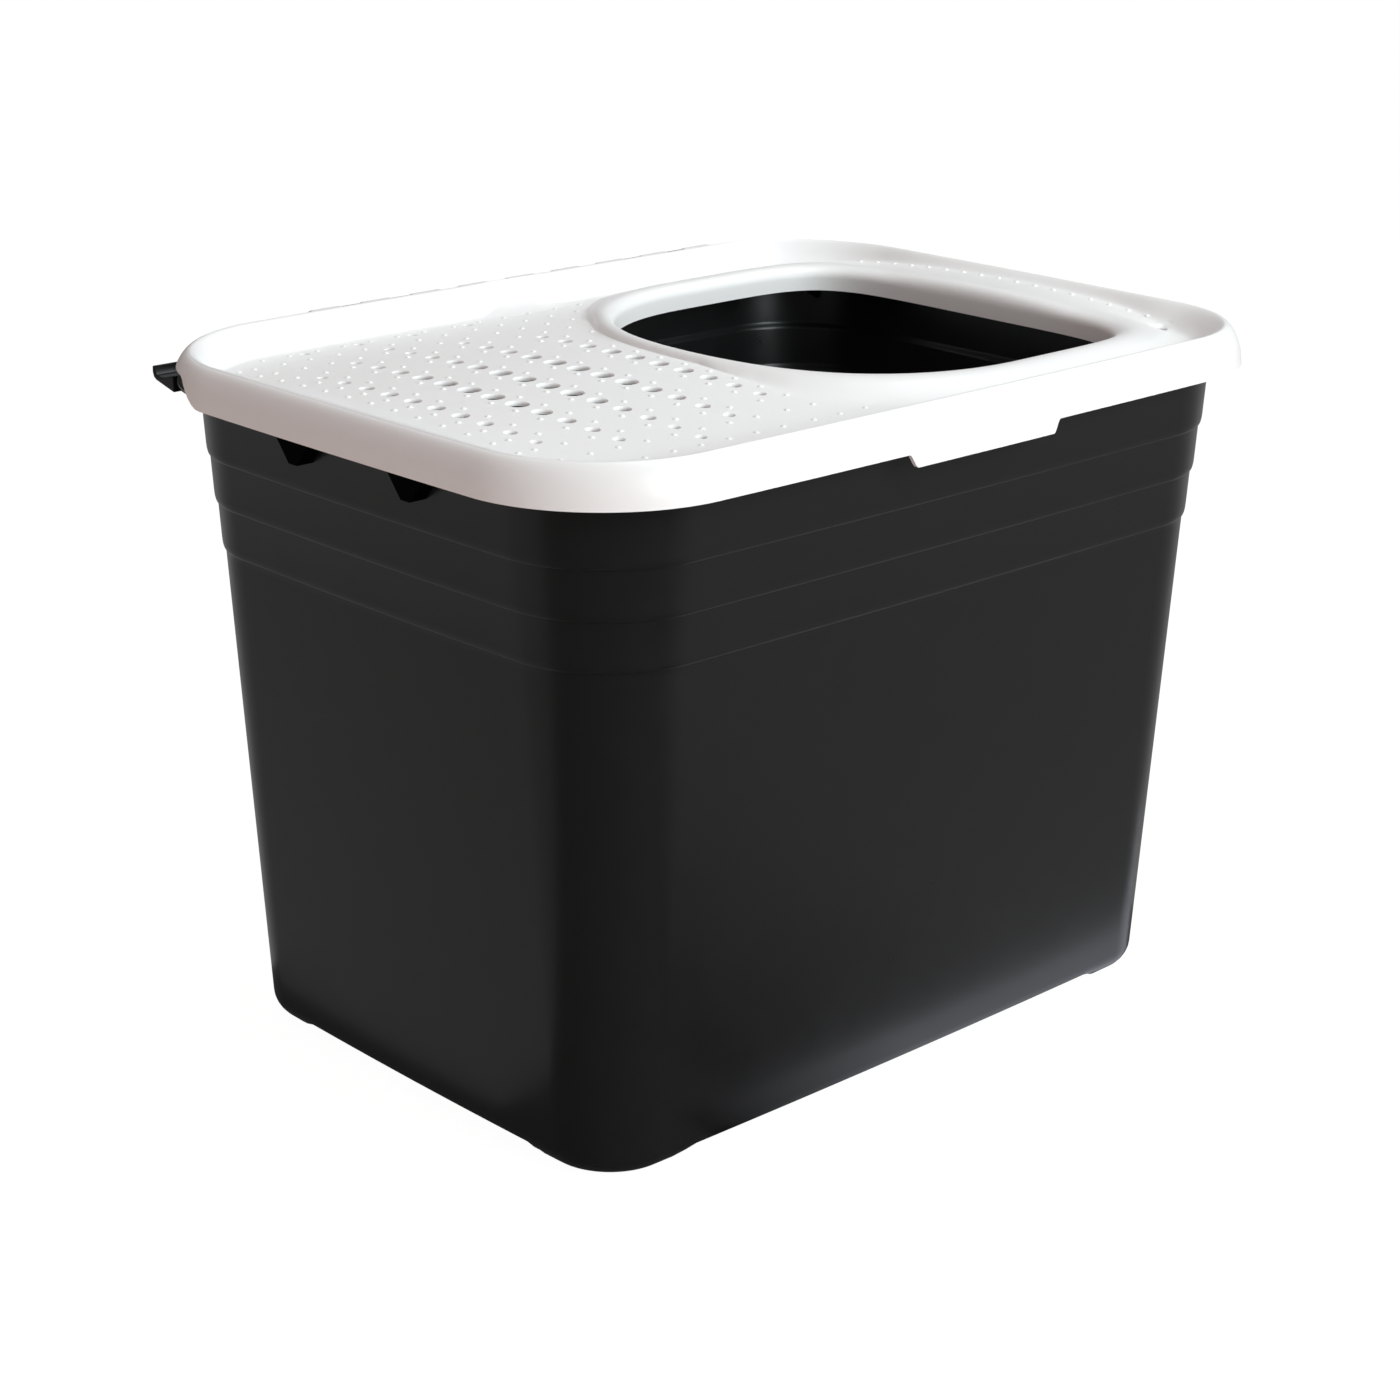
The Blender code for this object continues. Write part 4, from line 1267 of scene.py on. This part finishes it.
    def holes(self) -> Shape:
        """Cutters for the holes, flared at the deck so that each hole gets a rounded lip.

        Returns:
            All the cutters as one shape.
        """
        places = self.hole_places()
        made = None
        for x, y, radius in places:
            level = float(self.height(np.array([x]), np.array([y]))[0])
            narrow = radius - 0.0004
            profile = [(-0.012, 0), (-0.012, narrow), (-0.0016, narrow), (-0.0010, narrow + 0.00014),
                       (-0.0005, narrow + 0.00042), (0.0, narrow + 0.0010),
                       (0.003, narrow + 0.0056), (0.003, 0)]
            cutter = Shape.turned(profile, Axis.Z, 28).repeated([(x, y, level)])
            made = cutter if made is None else made.joined(cutter)
        return made

    def dot_places(self) -> Array:
        """(x, y) of the raised dots: beside each column, half way between the hole rows.

        Returns:
            The dots that stand clear of the rim, the ring and every hole.
        """
        columns = np.array([column[0] for column in self.hole_columns] + [-0.0080])
        x = np.concatenate((columns - self.dot_offset, columns + self.dot_offset,
                            [columns[0] - 0.0193 - 0.0005, 0.0225, 0.0415]))
        y = self.hole_origin + (np.arange(-8, 9) + 0.5) * self.hole_pitch
        grid_x, grid_y = (part.ravel() for part in np.meshgrid(x, y))
        bearing = self.bearing(grid_x, grid_y)
        clear = self.ring_offset(grid_x, grid_y) > (self.crest_offset(bearing)
                                                    + 0.8 * self.flank_width(bearing) + 0.002)
        clear &= self.inset(grid_x, grid_y) > self.rim_foot + 0.001
        strip_y = np.arange(-0.106, 0.135, 0.0146)
        strip = np.column_stack((0.2470 + BOW * (1 - (strip_y / LID_HALF_Y) ** 2), strip_y))
        places = np.concatenate((np.column_stack((grid_x, grid_y))[clear], strip))
        holes = self.hole_places()
        gap = np.hypot(places[:, None, 0] - holes[None, :, 0], places[:, None, 1] - holes[None, :, 1])
        return places[(gap > holes[None, :, 2] + self.dot_radius + 0.001).all(1)]

    def dots(self) -> Shape:
        """Low domes, each a slice of a sphere with a short root in the deck.

        Returns:
            All the dots as one shape.
        """
        turn = np.linspace(0, 1, 5)
        profile = [(-0.0010, 0), (-0.0010, 0.75)]
        profile += [(self.dot_height * (1 - (1 - t) ** 2), 1 - t) for t in turn[:-1]]
        profile += [(self.dot_height, 0)]
        places = self.dot_places()
        level = self.height(places[:, 0], places[:, 1])
        scales = np.tile((self.dot_radius, self.dot_radius, 1.0), (len(places), 1))
        return Shape.turned(profile, Axis.Z, 14).repeated(np.column_stack((places, level)), scales)

    def fingers(self) -> Shape:
        """Hinge knuckles of the lid: short round bars with rounded ends.

        Returns:
            All the knuckles as one shape.
        """
        half, radius = self.finger_length / 2, self.finger_radius
        turn = np.linspace(0, pi / 2, 5)
        left = [(-half + 0.0012 * (1 - np.sin(t)), radius - 0.0012 * (1 - np.cos(t)))
                for t in turn[::-1]]
        profile = [(-half, 0), *left, *[(-along, reach) for along, reach in left[::-1]], (half, 0)]
        places = [(x, LID_HALF_Y, AXIS_Z) for x in lid_knuckle_places()]
        return Shape.turned(profile, Axis.X, 36).repeated(places)

    def bore(self) -> Shape:
        """Cutter for the rod's bore through every finger.

        Returns:
            The shape.
        """
        low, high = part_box("hinge_rod")
        radius = ROD_RADIUS + 0.0003
        profile = [(low.x - 0.01, 0), (low.x - 0.01, radius), (high.x + 0.01, radius),
                   (high.x + 0.01, 0)]
        return Shape.turned(profile, Axis.X, 24).repeated([(0, LID_HALF_Y, AXIS_Z)])

    def build(self, material: bpy.types.Material) -> None:
        """Make the moulding, join its dots and fingers, cut its holes and dress it.

        Args:
            material: finish of the lid.
        """
        lid = self.shell().make("lid_moulding")
        combine(lid, self.fingers().make("finger_tool"), "UNION")
        combine(lid, self.dots().make("dot_tool"), "UNION")
        combine(lid, self.holes().make("hole_tool"), "DIFFERENCE")
        combine(lid, self.bore().make("bore_tool"), "DIFFERENCE")
        smooth_faces(lid.data, 30.0)
        settle(lid, Body.LID, ["lid"], material)


# --- studio ----------------------------------------------------------------------
@dataclass
class Studio:
    """Pale floor, soft lights and the camera."""

    eye: tuple[float, float, float] = (-1.1128, -1.17325, 0.7459)
    yaw: float = 42.782                  # degrees to the right of +Y
    pitch: float = 19.356                # degrees down
    roll: float = -0.289
    lens: float = 75.55
    shift: tuple[float, float] = (0.0163, 0.0004)

    def camera(self) -> None:
        """Camera from its yaw, pitch and roll: right, down and forward vectors as a matrix."""
        yaw, pitch, roll = (radians(part) for part in (self.yaw, self.pitch, self.roll))
        forward = Vector((np.sin(yaw) * np.cos(pitch), np.cos(yaw) * np.cos(pitch), -np.sin(pitch)))
        level = Vector((np.cos(yaw), -np.sin(yaw), 0))
        down = forward.cross(level)
        right = level * np.cos(roll) + down * np.sin(roll)
        down = down * np.cos(roll) - level * np.sin(roll)
        data = bpy.data.cameras.new("camera")
        data.sensor_width = 36.0
        data.lens = self.lens
        data.shift_x, data.shift_y = self.shift
        item = bpy.data.objects.new("camera", data)
        bpy.context.scene.collection.objects.link(item)
        turn = Matrix((right, -down, -forward)).transposed().to_4x4()
        item.matrix_world = Matrix.Translation(self.eye) @ turn
        bpy.context.scene.camera = item

    def lamp(self, name: str, place: tuple[float, float, float], size: float, power: float,
             colour: tuple[float, float, float] = (1.0, 1.0, 1.0)) -> None:
        """Square softbox aimed at the middle of the box.

        Args:
            name: object name.
            place: where it stands.
            size: length of its side.
            power: watts.
            colour: tint of its light.
        """
        data = bpy.data.lights.new(name, "AREA")
        data.size = size
        data.energy = power
        data.color = colour
        item = bpy.data.objects.new(name, data)
        bpy.context.scene.collection.objects.link(item)
        item.location = place
        aim = Vector((0, 0, 0.25)) - Vector(place)
        item.rotation_euler = aim.to_track_quat("-Z", "Y").to_euler()

    def sheet(self, name: str, corners: Sequence[tuple[float, float]], height: float,
              glow: float, colour: tuple[float, float, float], light: tuple[float, float, float],
              fade: tuple[float, float] | None = None) -> bpy.types.Object:
        """Flat stage piece with a colour and some light of its own.

        Args:
            name: object name.
            corners: its outline, counter-clockwise.
            height: its level.
            glow: emission strength.
            colour: its colour.
            light: colour of its emission.
            fade: X where the emission starts and X where it is full.

        Returns:
            The object.
        """
        mesh = bpy.data.meshes.new(name)
        mesh.from_pydata([(x, y, height) for x, y in corners], [], [list(range(len(corners)))])
        item = bpy.data.objects.new(name, mesh)
        bpy.context.scene.collection.objects.link(item)
        material = bpy.data.materials.new(name)
        material.use_nodes = True
        nodes = Nodes(material.node_tree)
        strength: Any = glow
        if fade:
            place = nodes.wire("ShaderNodeTexCoord", "Object")
            along = nodes.wire("ShaderNodeSeparateXYZ", 0, None, {0: place})
            strength = ((along - fade[0]) * (1 / (fade[1] - fade[0]))).clamped() * glow
        shader = nodes.node("ShaderNodeBsdfPrincipled", None,
                            {"Base Color": (*colour, 1.0), "Roughness": 0.9,
                             "Specular IOR Level": 0.0, "Emission Color": (*light, 1.0),
                             "Emission Strength": strength})
        nodes.node("ShaderNodeOutputMaterial", None, {"Surface": shader.outputs[0]})
        mesh.materials.append(material)
        return item

    def seen_by(self, item: bpy.types.Object, camera: bool, diffuse: bool, glossy: bool) -> None:
        """Choose the rays that meet a stage piece; it casts no shadow.

        Args:
            item: the stage piece.
            camera: camera rays meet it.
            diffuse: diffuse rays meet it.
            glossy: glossy rays meet it.
        """
        item.visible_camera = camera
        item.visible_diffuse = diffuse
        item.visible_glossy = glossy
        item.visible_transmission = False
        item.visible_shadow = False

    def floor(self) -> None:
        """Floor for the camera, a duller one that throws light back, and cards for the gloss."""
        white, none = (1.0, 1.0, 1.0), (0.0, 0.0, 0.0)
        whole = [(-30.0, -30.0), (30.0, -30.0), (30.0, 30.0), (-30.0, 30.0)]
        near = [(-3.0, -3.0), (3.0, -3.0), (3.0, 3.0), (-3.0, 3.0)]
        self.seen_by(self.sheet("floor", whole, -0.0005, 0.975, (0.08, 0.08, 0.08), white),
                     True, False, False)
        self.seen_by(self.sheet("bounce", near, -0.002, 0.0, (0.80, 0.685, 0.65), none),
                     False, True, False)
        cards = (("front_card", [(-0.10, -0.20), (-0.10, -1.9), (2.2, -1.9), (2.2, -0.20)], 0.235,
                  white, (-0.10, 0.16)),
                 ("left_card", [(-1.9, -0.05), (-0.25, -0.05), (-0.25, 1.9), (-1.9, 1.9)], 0.27,
                  white, None),
                 ("right_card", [(0.29, -0.2), (2.2, -0.2), (2.2, 1.9), (0.29, 1.9)], 0.40, white,
                  None),
                 ("rear_card", [(-0.25, 0.20), (0.29, 0.20), (0.29, 1.9), (-0.25, 1.9)], 0.40,
                  white, None),
                 ("edge_card", [(-0.14, -0.155), (-0.14, -0.20), (0.45, -0.20), (0.45, -0.155)],
                  1.15, (0.88, 0.90, 1.0), (-0.13, 0.02)))
        for name, corners, glow, light, fade in cards:
            self.seen_by(self.sheet(name, corners, -0.001, glow, none, light, fade),
                         False, False, True)

    def world(self) -> None:
        """Surroundings: warm and dim for diffuse light, darker in gloss, white behind the box."""
        world = bpy.data.worlds.new("studio")
        world.use_nodes = True
        nodes = Nodes(world.node_tree)
        seen = nodes.node("ShaderNodeLightPath")
        around, gloss, behind = (
            nodes.node("ShaderNodeBackground", None, {"Color": (*colour, 1.0), "Strength": strength})
            for colour, strength in (((1.0, 0.85, 0.815), 0.42), ((1.0, 1.0, 1.0), 0.07),
                                     ((1.0, 1.0, 1.0), 1.0)))
        inner = nodes.node("ShaderNodeMixShader", None, {0: seen.outputs["Is Glossy Ray"],
                                                         1: around.outputs[0], 2: gloss.outputs[0]})
        outer = nodes.node("ShaderNodeMixShader", None, {0: seen.outputs["Is Camera Ray"],
                                                         1: inner.outputs[0], 2: behind.outputs[0]})
        nodes.node("ShaderNodeOutputWorld", None, {"Surface": outer.outputs[0]})
        bpy.context.scene.world = world

    def build(self) -> None:
        """Set up the whole studio."""
        self.camera()
        self.floor()
        self.world()
        self.lamp("key_front", (0.3, -2.6, 1.3), 1.6, 57.0, (0.88, 0.975, 1.0))
        self.lamp("top", (1.1, -0.2, 2.5), 1.6, 33.0, (0.88, 0.975, 1.0))
        bpy.context.scene.view_settings.view_transform = "Standard"


def main() -> None:
    """Build every piece in order, then write how large the model is."""
    logging.basicConfig(level=logging.INFO, format="%(message)s")
    Studio().build()
    tub_black = TUB_BLACK.build()
    rod_black = ROD_BLACK.build()
    # The ribs' finish is painted shade, darker than the tub's own black.
    TubBody().build(tub_black, RIB_PAINTED_SHADE.build())
    HingeRod().build(rod_black)
    FootPads().build(PAD_BLACK.build())
    Lid().build(LID_WHITE.build())


if __name__ == "__main__":
    main()
